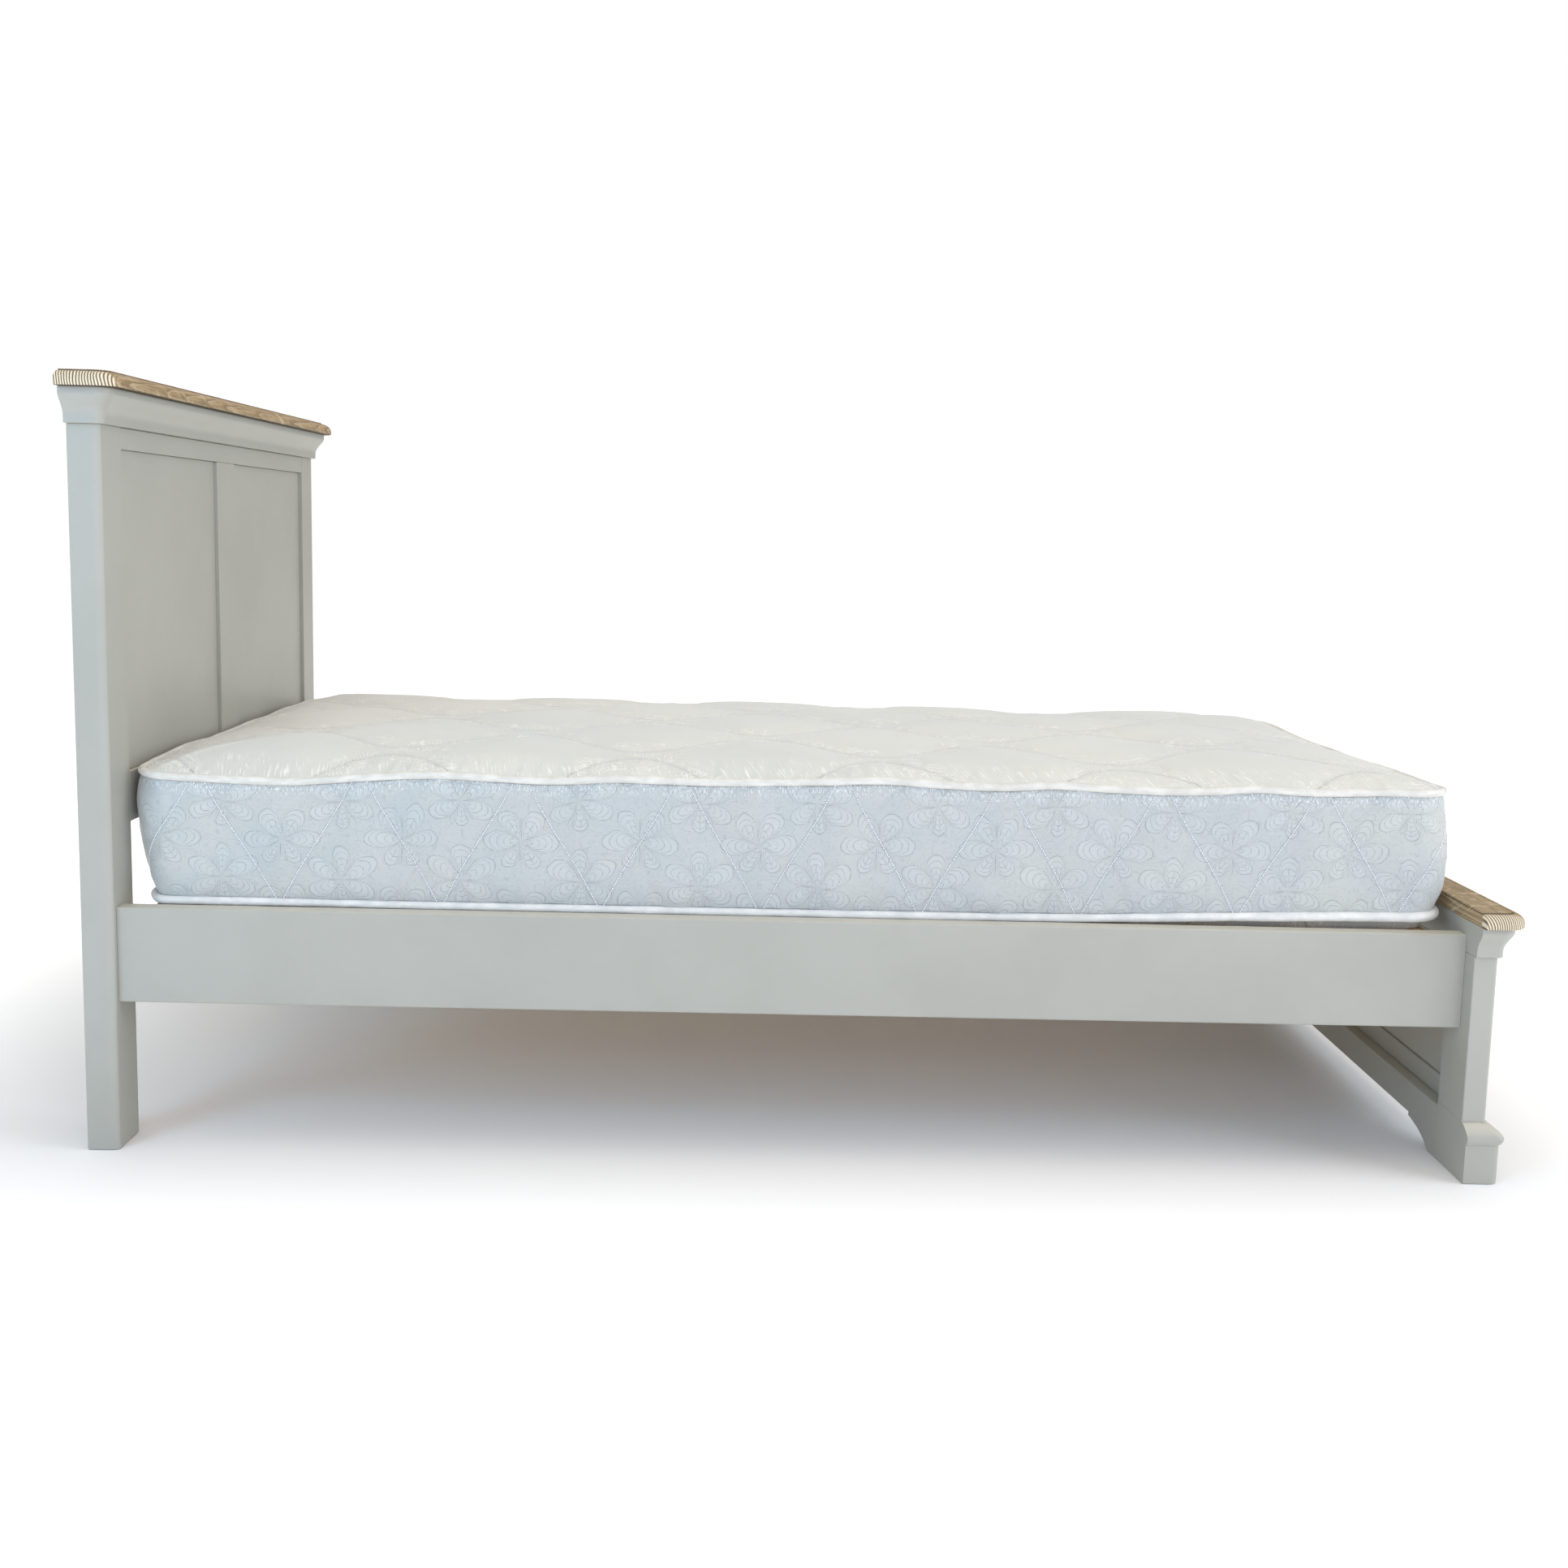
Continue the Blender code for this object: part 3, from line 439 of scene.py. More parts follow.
def top_cloth(name="top_damask_cloth"):
    f = Finish(name)
    uv = f.uv()
    x, y, _ = f.split(uv)
    big = f.noise(f.scaled(uv, (7, 7, 1)), 1.0, 2, 0.5, what="Color")
    bx, by, _z = f.split(big)
    fold = f.noise(f.scaled(uv, (26, 26, 1)), 1.0, 2, 0.55, what="Color")
    gx, gy, _z = f.split(fold)
    wx = f.add(f.add(x, f.mul(f.sub(bx, 0.5), 0.11)), f.mul(f.sub(gx, 0.5), 0.034))
    wy = f.add(f.add(y, f.mul(f.sub(by, 0.5), 0.11)), f.mul(f.sub(gy, 0.5), 0.034))
    # leaves and scrolls: two families of curling strokes, inside large feathery shapes
    stroke_a = f.m("ABSOLUTE", f.m("SINE", f.mul(f.add(f.mul(wx, 0.80), f.mul(wy, 0.6)), 2 * math.pi / 0.013)))
    stroke_b = f.m("ABSOLUTE", f.m("SINE", f.mul(f.sub(f.mul(wy, 0.85), f.mul(wx, 0.5)), 2 * math.pi / 0.017)))
    line = f.m("MAXIMUM", f.step(stroke_a, 0.56, 0.26), f.mul(f.step(stroke_b, 0.46, 0.18), 0.9))
    leaf = f.noise(f.join(f.mul(wx, 15.0), f.mul(wy, 15.0), 0.0), 1.0, 2, 0.45)
    shape = f.step(leaf, 0.46, 0.54)
    rim = f.step(f.m("ABSOLUTE", f.sub(leaf, 0.47)), 0.014, 0.004)
    # plain satin ovals in the middle of the quilting
    ox = f.sub(f.m("FRACT", f.add(f.div(f.sub(x, OVAL_X), OGEE_P), 0.5)), 0.5)
    oy = f.sub(f.m("FRACT", f.add(f.div(y, 2 * OGEE_D), 0.5)), 0.5)
    e1 = f.add(f.m("POWER", f.div(f.mul(ox, OGEE_P), 0.128), 2.0), f.m("POWER", f.div(f.mul(oy, 2 * OGEE_D), 0.108), 2.0))
    ox2 = f.sub(f.m("FRACT", f.add(f.div(f.sub(x, OVAL_X), OGEE_P), 1.0)), 0.5)
    oy2 = f.sub(f.m("FRACT", f.add(f.div(y, 2 * OGEE_D), 1.0)), 0.5)
    e2 = f.add(f.m("POWER", f.div(f.mul(ox2, OGEE_P), 0.128), 2.0), f.m("POWER", f.div(f.mul(oy2, 2 * OGEE_D), 0.108), 2.0))
    plain = f.step(f.add(f.m("MINIMUM", e1, e2), f.mul(f.sub(f.noise(f.scaled(uv, (16, 16, 1)), 1.0, 3, 0.6), 0.5), 1.6)), 1.05, 0.80)
    pattern = f.sub(1.0, plain)
    line = f.mul(f.mul(f.m("MAXIMUM", f.mul(line, shape), rim), pattern), 1.0)
    tick = f.add(f.mul(f.m("SINE", f.mul(f.add(x, y), 2 * math.pi / 0.0024)), 0.5), 0.5)
    line = f.mul(line, f.add(0.55, f.mul(f.step(tick, 0.2, 0.7), 0.45)))
    rib = f.add(f.mul(f.m("SINE", f.mul(y, 2 * math.pi / 0.0012)), 0.5), 0.5)
    slub = f.noise(f.join(f.mul(x, 14.0), f.mul(y, 380.0), 0.0), 1.0, 3, 0.6)
    c = f.mix(f.step(f.noise(f.scaled(uv, (3, 3, 1)), 1.0, 2), 0.35, 0.65), TOP_TONE, TOP_TONE_2)
    c = f.mix(f.mul(f.mul(shape, pattern), 0.30), c, lin(214, 212, 201))
    # pulled threads that run in from the side seams
    side = f.m("ABSOLUTE", y)
    pull = f.step(f.noise(f.join(f.mul(f.add(x, f.mul(y, 0.25)), 330.0), f.mul(y, 24.0), 0.0), 1.0, 2, 0.55), 0.53, 0.64)
    zone = f.step(f.add(side, f.mul(f.noise(f.scaled(uv, (9, 9, 1)), 1.0, 2), 0.05)), MB - 0.055, MB - 0.015)
    pull = f.mul(f.mul(pull, zone), 0.62)
    line = f.m("MAXIMUM", line, pull)
    c = f.mix(f.mul(f.step(slub, 0.5, 0.85), 0.16), c, lin(222, 222, 216))
    c = f.mix(f.mul(line, 0.95), c, lin(253, 252, 246))
    # the quilting lines: painted shade, a thin dark crease in a soft darker hollow
    wave = f.mul(f.m("COSINE", f.mul(f.sub(x, OVAL_X), 2 * math.pi / OGEE_P)), 0.38 * OGEE_D)
    yy = f.sub(f.div(y, OGEE_D), 0.5)
    even = f.mul(f.sub(f.m("FRACT", f.add(f.mul(f.sub(yy, f.div(wave, OGEE_D)), 0.5), 0.5)), 0.5), 2 * OGEE_D)
    odd = f.mul(f.sub(f.m("FRACT", f.add(f.mul(f.sub(f.add(yy, f.div(wave, OGEE_D)), 1.0), 0.5), 0.5)), 0.5), 2 * OGEE_D)
    seam = f.m("MINIMUM", f.m("ABSOLUTE", even), f.m("ABSOLUTE", odd))
    c = f.mix(f.mul(f.step(seam, 0.0150, 0.0), 0.20), c, lin(176, 174, 166))
    c = f.mix(f.mul(f.step(seam, 0.0024, 0.0008), 0.50), c, lin(140, 138, 130))
    rough = f.sub(0.58, f.mul(line, 0.22))
    height = f.add(f.mul(line, 0.75), f.add(f.mul(f.mul(shape, pattern), 0.40), f.add(f.mul(rib, 0.06), f.mul(slub, 0.20))))
    return f.set(color=c, rough=rough, normal=f.bump(height, 0.0010, 0.85), sheen=0.30, sheen_rough=0.4, spec=0.40)


def piping_cloth(name, light, dark):
    f = Finish(name)
    uv = f.uv()
    s, t, _ = f.split(uv)
    rib = f.add(f.mul(f.m("SINE", f.add(f.mul(s, 2 * math.pi / 0.0016), f.mul(t, 9.0))), 0.5), 0.5)
    cross = f.add(f.mul(f.m("SINE", f.mul(t, 46.0)), 0.5), 0.5)
    soft = f.noise(f.join(f.mul(s, 30.0), f.mul(t, 1.5), 0.0), 1.0, 3, 0.6)
    c = f.mix(f.step(soft, 0.35, 0.7), dark, light)
    c = f.mix(f.mul(rib, 0.14), c, dark)
    height = f.add(f.add(f.mul(rib, 0.5), f.mul(cross, 0.25)), f.mul(soft, 0.5))
    return f.set(color=c, rough=f.add(0.45, f.mul(soft, 0.15)), normal=f.bump(height, 0.0004, 0.6), sheen=0.3, sheen_rough=0.4, spec=0.4)


def thread():
    f = Finish("quilting_thread")
    p = f.coords()
    twist = f.noise(f.scaled(p, (900, 900, 900)), 1.0, 2)
    c = f.mix(twist, lin(222, 226, 230), lin(246, 248, 249))
    return f.set(color=c, rough=f.add(0.35, f.mul(twist, 0.2)), sheen=0.3, normal=f.bump(twist, 0.0002, 0.5))


# ------------------------------------------------------------------ the mattress's driving shape
MX0, MX1 = MAT_LO.x + 0.0045, MAT_HI.x - 0.0035    # piping's centre line at the head and foot ends
MB = 0.4620                                        # the same, at each side
MR = 0.055
PIPE_R = 0.0060
MXC, MA = (MX0 + MX1) / 2, (MX1 - MX0) / 2
L1, LA, L2, L3 = MB - MR, MR * math.pi / 2, 2 * (MA - MR), 2 * (MB - MR)
PERIM = 2 * L1 + 4 * LA + 2 * L2 + L3
LENGTHS = [L1, LA, L2, LA, L3, LA, L2, LA, L1]
STARTS = np.concatenate([[0], np.cumsum(LENGTHS)])
S_SIDE = STARTS[2]                                 # where the near side's straight run starts
PITCHES = 24
PITCH = PERIM / PITCHES
BORDER_H = TAPE_TOP - TAPE_LOW
ZIG_START, ZIG_RISE = -0.004, 0.210 * BORDER_H / 0.190   # the border's zigzag stitching
OGEE_P, OGEE_D = 0.365, 0.180                      # the top's quilting: pitch along and across the bed
OVAL_X = HEAD_X + 0.735 + OGEE_P / 2


def plan(s, off=0.0, inset=0.0):
    """Points, and outward normals, on the mattress's outline at length s along it."""
    s = np.mod(s, PERIM)
    off = off + 0 * s
    r = MR
    px, py = np.zeros_like(s), np.zeros_like(s)
    nx, ny = np.zeros_like(s), np.zeros_like(s)
    runs = [(MX0, 0.0, 0, -1, -1, 0), (MX0 + r, -MB + r, None, None, math.pi, 0), (MX0 + r, -MB, 1, 0, 0, -1),
            (MX1 - r, -MB + r, None, None, 1.5 * math.pi, 0), (MX1, -MB + r, 0, 1, 1, 0),
            (MX1 - r, MB - r, None, None, 0.0, 0), (MX1 - r, MB, -1, 0, 0, 1),
            (MX0 + r, MB - r, None, None, 0.5 * math.pi, 0), (MX0, MB - r, 0, -1, -1, 0)]
    for k, run in enumerate(runs):
        sel = (s >= STARTS[k]) & (s <= STARTS[k + 1])
        d = s[sel] - STARTS[k]
        if run[2] is None:
            a = run[4] + d / r
            nx[sel], ny[sel] = np.cos(a), np.sin(a)
            px[sel], py[sel] = run[0] + r * np.cos(a), run[1] + r * np.sin(a)
        else:
            px[sel], py[sel] = run[0] + run[2] * d, run[1] + run[3] * d
            nx[sel], ny[sel] = run[4], run[5]
    return px + nx * off, py + ny * off, nx, ny


# the piping's height along the near side: it wanders up and down by a few millimetres
NEAR_X = HEAD_X + np.array([0.0, 0.072, 0.162, 0.235, 0.352, 0.444, 0.527, 0.615, 0.708, 0.837, 0.994, 1.104, 1.185, 1.272,
                            1.344, 1.450, 1.583, 1.652, 1.723, 1.839, 1.95])
NEAR_DZ = np.array([-0.004, -0.0080, -0.0110, -0.0120, -0.0035, 0.0020, -0.0002, -0.0030, 0.0018, 0.0000, 0.0038, 0.0078, 0.0040,
                    0.0020, 0.0062, 0.0020, 0.0030, 0.0072, 0.0040, 0.0065, 0.0050])


def curve(x, xs, ys):
    """Smooth interpolation through given points."""
    i = np.clip(np.searchsorted(xs, x) - 1, 0, len(xs) - 2)
    t = (x - xs[i]) / (xs[i + 1] - xs[i])
    m = np.gradient(ys, xs)
    h = xs[i + 1] - xs[i]
    return ((2 * t ** 3 - 3 * t ** 2 + 1) * ys[i] + (t ** 3 - 2 * t ** 2 + t) * h * m[i]
            + (-2 * t ** 3 + 3 * t ** 2) * ys[i + 1] + (t ** 3 - t ** 2) * h * m[i + 1])


def top_wave(x, y):
    near = curve(np.clip(x, NEAR_X[0], NEAR_X[-1]), NEAR_X, NEAR_DZ)
    other = 0.0034 * hash_noise(x * 4.6 + 3.1, y * 4.6 + 8.2, 3) + 0.0016 * hash_noise(x * 10 + 1.7, y * 10 + 0.4, 5)
    w = smoothstep(-y, MB - 0.10, MB - 0.02)
    return near * w + other * (1 - w)


def low_wave(x, y):
    lift = 0.0122 * smoothstep(x - HEAD_X, 1.25, 1.95) - 0.0012 * smoothstep(x - HEAD_X, 0.2, 0.9) * (1 - smoothstep(x - HEAD_X, 1.0, 1.4))
    return lift + 0.0008 * hash_noise(x * 6.0 + 0.4, y * 6.0 + 5.0, 9)


def low_inset(nx):
    """How far the lower piping sits inside the upper one: little at the sides and foot, more at the head."""
    return -0.0008 - 0.0132 * smoothstep(-nx, 0.15, 0.95) - 0.0004 * smoothstep(nx, 0.15, 0.95)


def border_base(s, t, out=0.0):
    """The border's own surface, without its quilting, at s along and t up, moved out by out."""
    k = np.clip(t / BORDER_H, -0.1, 1.1)
    x, y, nx, ny = plan(s, 0.0)
    off = low_inset(nx) * (1 - smoothstep(k, -0.15, 0.85)) + (0.0045 + 0.0012 * np.abs(nx) + 0.0032 * np.maximum(nx, 0)) * np.sin(math.pi * np.clip(k, 0, 1)) ** 0.8
    # cloth tucks in behind both pipings, and further in below the head end
    off = off - 0.0022 * (1 - smoothstep(k, 0.0, 0.05)) - 0.0022 * smoothstep(k, 0.95, 1.0)
    off = off - 0.0065 * smoothstep(-nx, 0.2, 0.9) * (1 - smoothstep(k, -0.02, 0.16))
    z0, z1 = TAPE_LOW + low_wave(x, y), TAPE_TOP + top_wave(x, y)
    x, y, nx, ny = plan(s, off + out)
    return x, y, z0 + (z1 - z0) * k, nx, ny


def zig(s):
    """Height of the border's zigzag stitching at s."""
    ph = np.mod((s - S_SIDE - (HEAD_X + 0.5735 - (MX0 + MR))) / PITCH + 0.5, 1.0)
    tri = 1 - np.abs(2 * ph - 1)
    return ZIG_START + ZIG_RISE * (tri + 0.018 * np.sin(2 * math.pi * tri))


def zig_gap(s, t):
    """Distance from (s, t) to the stitching, roughly, in metres."""
    slope = 2 * ZIG_RISE / PITCH
    return np.abs(t - zig(s)) / math.sqrt(1 + slope * slope)


def ogee(x, k):
    """Line k of the top's quilting: y at x."""
    return (k + 0.5) * OGEE_D + (-1) ** k * 0.38 * OGEE_D * np.cos(2 * math.pi * (x - OVAL_X) / OGEE_P)


OGEE_LINES = range(-3, 3)


def ogee_gap(x, y):
    best = np.full(np.shape(x), 9.0)
    slope = np.abs(0.38 * OGEE_D * 2 * math.pi / OGEE_P * np.sin(2 * math.pi * (x - OVAL_X) / OGEE_P))
    for k in OGEE_LINES:
        best = np.minimum(best, np.abs(y - ogee(x, k)) / np.sqrt(1 + slope ** 2))
    return best


# ------------------------------------------------------------------ cloth simulation of a quilted sheet
def quilt(name, nx, ny, step, pinned, pressure, grow, frames=20, cap=0.02, flow=None):
    """A flat sheet, sewn down where pinned is set, swelling under pressure.  Gives each point's move."""
    xs, ys = np.arange(nx) * step, np.arange(ny) * step
    gx, gy = np.meshgrid(xs, ys, indexing="ij")
    rest = np.stack([gx.ravel(), gy.ravel(), np.zeros(nx * ny)], 1)
    ob = mesh_object(name, rest, grid_faces(nx, ny))
    group = ob.vertex_groups.new(name="sewn")
    group.add([int(i) for i in np.nonzero(pinned.ravel())[0]], 1.0, "REPLACE")
    mod = ob.modifiers.new("cloth", "CLOTH")
    st = mod.settings
    st.quality = 4
    st.mass = 0.25
    st.tension_stiffness = st.compression_stiffness = 12
    st.shear_stiffness = 5
    st.bending_stiffness = 0.12
    st.vertex_group_mass = "sewn"
    st.pin_stiffness = 1.0
    st.use_pressure = True
    st.uniform_pressure_force = pressure
    st.shrink_min = st.shrink_max = -grow
    st.effector_weights.gravity = 0
    mod.collision_settings.use_collision = False
    mod.collision_settings.use_self_collision = False
    mod.point_cache.frame_start, mod.point_cache.frame_end = 1, frames
    scene = bpy.context.scene
    for fr in range(1, frames + 1):
        scene.frame_set(fr)
    ev = ob.evaluated_get(bpy.context.evaluated_depsgraph_get())
    co = np.empty(len(ev.data.vertices) * 3, np.float32)
    ev.data.vertices.foreach_get("co", co)
    move = co.reshape(-1, 3).astype(float) - rest
    move = np.nan_to_num(move)
    size = np.linalg.norm(move, axis=1, keepdims=True)
    move *= np.minimum(1, cap / np.maximum(size, 1e-9))
    scene.frame_set(1)
    bpy.data.objects.remove(ob)
    return move.reshape(nx, ny, 3)


def puff_guess(gap, width, height):
    """Stand-in for the simulated swelling while trying things."""
    h = height * (1 - np.exp(-gap / width))
    return np.stack([0 * h, 0 * h, h], -1)


def bilinear(field, u, v):
    """field[nx, ny, c] at fractional indices u, v."""
    nx, ny = field.shape[:2]
    u, v = np.clip(u, 0, nx - 1.0001), np.clip(v, 0, ny - 1.0001)
    i, j = u.astype(int), v.astype(int)
    fu, fv = (u - i)[..., None], (v - j)[..., None]
    return ((field[i, j] * (1 - fu) + field[i + 1, j] * fu) * (1 - fv)
            + (field[i, j + 1] * (1 - fu) + field[i + 1, j + 1] * fu) * fv)


def thread_run(paths, length, radius, sink):
    """Verts and faces of little rounded stitches.  paths is a list of (points, normals, directions)."""
    ring_n, rows = 6, 5
    a = np.linspace(0, 2 * math.pi, ring_n, endpoint=False)
    k = np.linspace(-1, 1, rows)
    prof = np.sqrt(np.maximum(1 - (np.abs(k) * 0.97) ** 2.6, 0.03))
    verts, faces, base = [], [], 0
    for pts, nrm, dirs in paths:
        side = np.cross(dirs, nrm)
        side /= np.maximum(np.linalg.norm(side, axis=1, keepdims=True), 1e-9)
        for row in range(rows):
            for c in range(ring_n):
                verts.append(pts + dirs * (k[row] * length / 2) + (side * math.cos(a[c]) + nrm * math.sin(a[c])) * radius * prof[row]
                             - nrm * sink * (abs(k[row]) ** 2))
    all_v, all_f = [], []
    at = 0
    per = ring_n * rows
    index = 0
    for pts, nrm, dirs in paths:
        n = len(pts)
        block = np.stack(verts[index:index + per], 1).reshape(n, per, 3)
        index += per
        all_v.append(block.reshape(-1, 3))
        local = []
        for row in range(rows - 1):
            for c in range(ring_n):
                d = (c + 1) % ring_n
                local.append((row * ring_n + c, row * ring_n + d, (row + 1) * ring_n + d, (row + 1) * ring_n + c))
        local = np.array(local)
        starts = at + np.arange(n) * per
        quads = (starts[:, None, None] + local[None]).reshape(-1, 4)
        all_f.extend(map(tuple, quads.tolist()))
        for st in starts:
            all_f.append(tuple(int(st + c) for c in reversed(range(ring_n))))
            all_f.append(tuple(int(st + (rows - 1) * ring_n + c) for c in range(ring_n)))
        at += n * per
    return np.concatenate(all_v), all_f


# ------------------------------------------------------------------ border
def build_border(mat, mat_thread):
    step = 0.004
    span = 6
    ny = int(round(BORDER_H / step)) + 1
    st_y = BORDER_H / (ny - 1)
    nx = int(round((span + 1) * PITCH / st_y)) + 1
    gs = S_SIDE + np.arange(nx) * st_y
    gt = np.arange(ny) * st_y
    ss, tt = np.meshgrid(gs, gt, indexing="ij")
    pin = (zig_gap(ss, tt) < st_y * 0.42) | (tt < 1e-6) | (tt > BORDER_H - 1e-6)
    field = quilt("quilt_border", nx, ny, st_y, pin, 2.2, 0.030, frames=16, cap=0.014)
    # the run is joined to itself over its last pitch, so that it repeats without a step
    n6 = span * PITCH / st_y
    cols = 1560
    rows = 60
    s = np.arange(cols) * PERIM / cols
    # rows are closer together next to the piping, where the cloth gathers
    k = np.linspace(0, 1, rows)
    t = BORDER_H * (0.5 - 0.5 * np.cos(math.pi * k)) * 0.35 + BORDER_H * k * 0.65
    ss, tt = np.meshgrid(s, t, indexing="ij")
    if field is None:
        move = puff_guess(np.minimum(zig_gap(ss, tt), np.minimum(tt, BORDER_H - tt) * 1.2), 0.014, 0.0065)
    else:
        u = np.mod(ss - S_SIDE, span * PITCH) / st_y
        a = bilinear(field, u, tt / st_y)
        b = bilinear(field, u + n6, tt / st_y)
        w = smoothstep(u, 0, PITCH / st_y)[..., None]
        move = (a * w + b * (1 - w)) * (1.0, 1.0, 0.60)
    # gathers next to the tapes, and slow unevenness along the side
    near_top = np.exp(-(BORDER_H - tt) / 0.016)
    near_low = np.exp(-tt / 0.012)
    gather = hash_noise(ss * 130, tt * 18, 11) * 0.7 + hash_noise(ss * 260, tt * 30, 12) * 0.3
    rise = 0.0009 * gather * (near_top * smoothstep(BORDER_H - tt, 0, 0.004) + 0.6 * near_low * smoothstep(tt, 0, 0.004))
    slow = 0.0012 * hash_noise(ss * 9, tt * 14, 13) * np.sin(math.pi * tt / BORDER_H)
    out = move[..., 2] + rise + slow
    x, y, z, nx_, ny_ = border_base(ss + move[..., 0], np.clip(tt + move[..., 1], 0, BORDER_H), out)
    v = np.stack([x.ravel(), y.ravel(), z.ravel()], 1)
    faces = grid_faces(cols, rows, wrap=True)
    uv = np.stack([ss.ravel(), tt.ravel()], 1)
    ob = mesh_object("mattress_border", v, faces, [mat], None)
    # uv by corner, so that the last column runs on past the seam and doesn't fold back
    me = ob.data
    layer = me.uv_layers.new(name="cloth")
    index = np.empty(len(me.loops), np.int32)
    me.loops.foreach_get("vertex_index", index)
    luv = uv[index]
    poly = np.repeat(np.arange(len(me.polygons)), 4)
    last = (np.repeat(faces[:, 0] // rows, 4) == cols - 1) & (index < rows)
    luv[last, 0] += PERIM
    # flowers sit where they do on the near side
    luv[:, 0] -= S_SIDE + (HEAD_X + 0.5748 - (MX0 + MR))
    layer.uv.foreach_set("vector", luv.astype(np.float32).ravel())
    # stitching threads along the zigzag
    paths = []
    n = int(PERIM / 0.0004)
    s_f = np.arange(n) * PERIM / n
    t_f = zig(s_f)
    ok = (t_f > 0.004) & (t_f < BORDER_H - 0.006)
    step_len = np.hypot(np.gradient(s_f), np.gradient(t_f))
    run = np.cumsum(step_len)
    pick = np.searchsorted(run, np.arange(0, run[-1], 0.0036))
    pick = pick[pick < n]
    pick = pick[ok[pick]]
    sp, tp = s_f[pick], t_f[pick]
    surf = lambda a, b: surface_on_border(a, b, v, cols, rows, t)
    p0, p1 = surf(sp - 0.0010, zig(sp - 0.0010)), surf(sp + 0.0010, zig(sp + 0.0010))
    p = surf(sp, tp)
    d = p1 - p0
    d /= np.maximum(np.linalg.norm(d, axis=1, keepdims=True), 1e-9)
    _, _, nx1, ny1 = plan(sp)
    nrm = np.stack([nx1, ny1, np.zeros_like(nx1)], 1)
    nrm -= d * np.sum(nrm * d, axis=1, keepdims=True)
    nrm /= np.linalg.norm(nrm, axis=1, keepdims=True)
    tv, tf = thread_run([(p + nrm * 0.0005, nrm, d)], 0.0029, 0.00095, 0.0007)
    th = mesh_object("border_stitching", tv, tf, [mat_thread])
    return ob, th


def surface_on_border(s, t, v, cols, rows, t_rows):
    g = v.reshape(cols, rows, 3)
    u = np.mod(s, PERIM) / PERIM * cols
    i = np.floor(u).astype(int) % cols
    j2 = np.interp(np.clip(t, 0, BORDER_H), t_rows, np.arange(rows))
    j = np.clip(j2.astype(int), 0, rows - 2)
    fu, fv = (u - np.floor(u))[:, None], (j2 - j)[:, None]
    k = (i + 1) % cols
    return ((g[i, j] * (1 - fu) + g[k, j] * fu) * (1 - fv) + (g[i, j + 1] * (1 - fu) + g[k, j + 1] * fu) * fv)


# ------------------------------------------------------------------ top and bottom panels
def to_plan(gx, gy):
    """A rectangle's points moved onto the mattress's outline with its rounded corners."""
    cx, cy = gx - MXC, gy
    px, py = np.maximum(np.abs(cx) - (MA - MR), 0) / MR, np.maximum(np.abs(cy) - (MB - MR), 0) / MR
    px, py = np.clip(px, 0, 1), np.clip(py, 0, 1)
    qx, qy = px * np.sqrt(1 - py ** 2 / 2), py * np.sqrt(1 - px ** 2 / 2)
    x = np.where(px > 0, np.sign(cx) * (MA - MR + qx * MR), cx)
    y = np.where(py > 0, np.sign(cy) * (MB - MR + qy * MR), cy)
    return x + MXC, y


def edge_gap(x, y):
    """Distance in from the mattress's outline."""
    qx, qy = np.abs(x - MXC) - (MA - MR), np.abs(y) - (MB - MR)
    outside = np.hypot(np.maximum(qx, 0), np.maximum(qy, 0))
    return MR - np.where((qx > 0) & (qy > 0), outside, np.maximum(qx, qy) + 0.0)


def nearest_rim(x, y):
    """The outline's point nearest to x, y."""
    qx, qy = np.abs(x - MXC) - (MA - MR), np.abs(y) - (MB - MR)
    corner = (qx > 0) & (qy > 0)
    d = np.maximum(np.hypot(qx, qy), 1e-9)
    rx = np.where(corner, MA - MR + qx / d * MR, np.where(qx > qy, MA, np.abs(x - MXC)))
    ry = np.where(corner, MB - MR + qy / d * MR, np.where(qx > qy, np.abs(y), MB))
    return np.sign(x - MXC) * rx + MXC, np.sign(y) * ry


CROWN_D = np.array([0.0, 0.006, 0.014, 0.030, 0.050, 0.080, 0.120, 0.180, 0.260, 0.46])
CROWN_H = np.array([0.0, 0.0042, 0.0082, 0.0132, 0.0175, 0.0220, 0.0262, 0.0298, 0.0322, 0.0335])


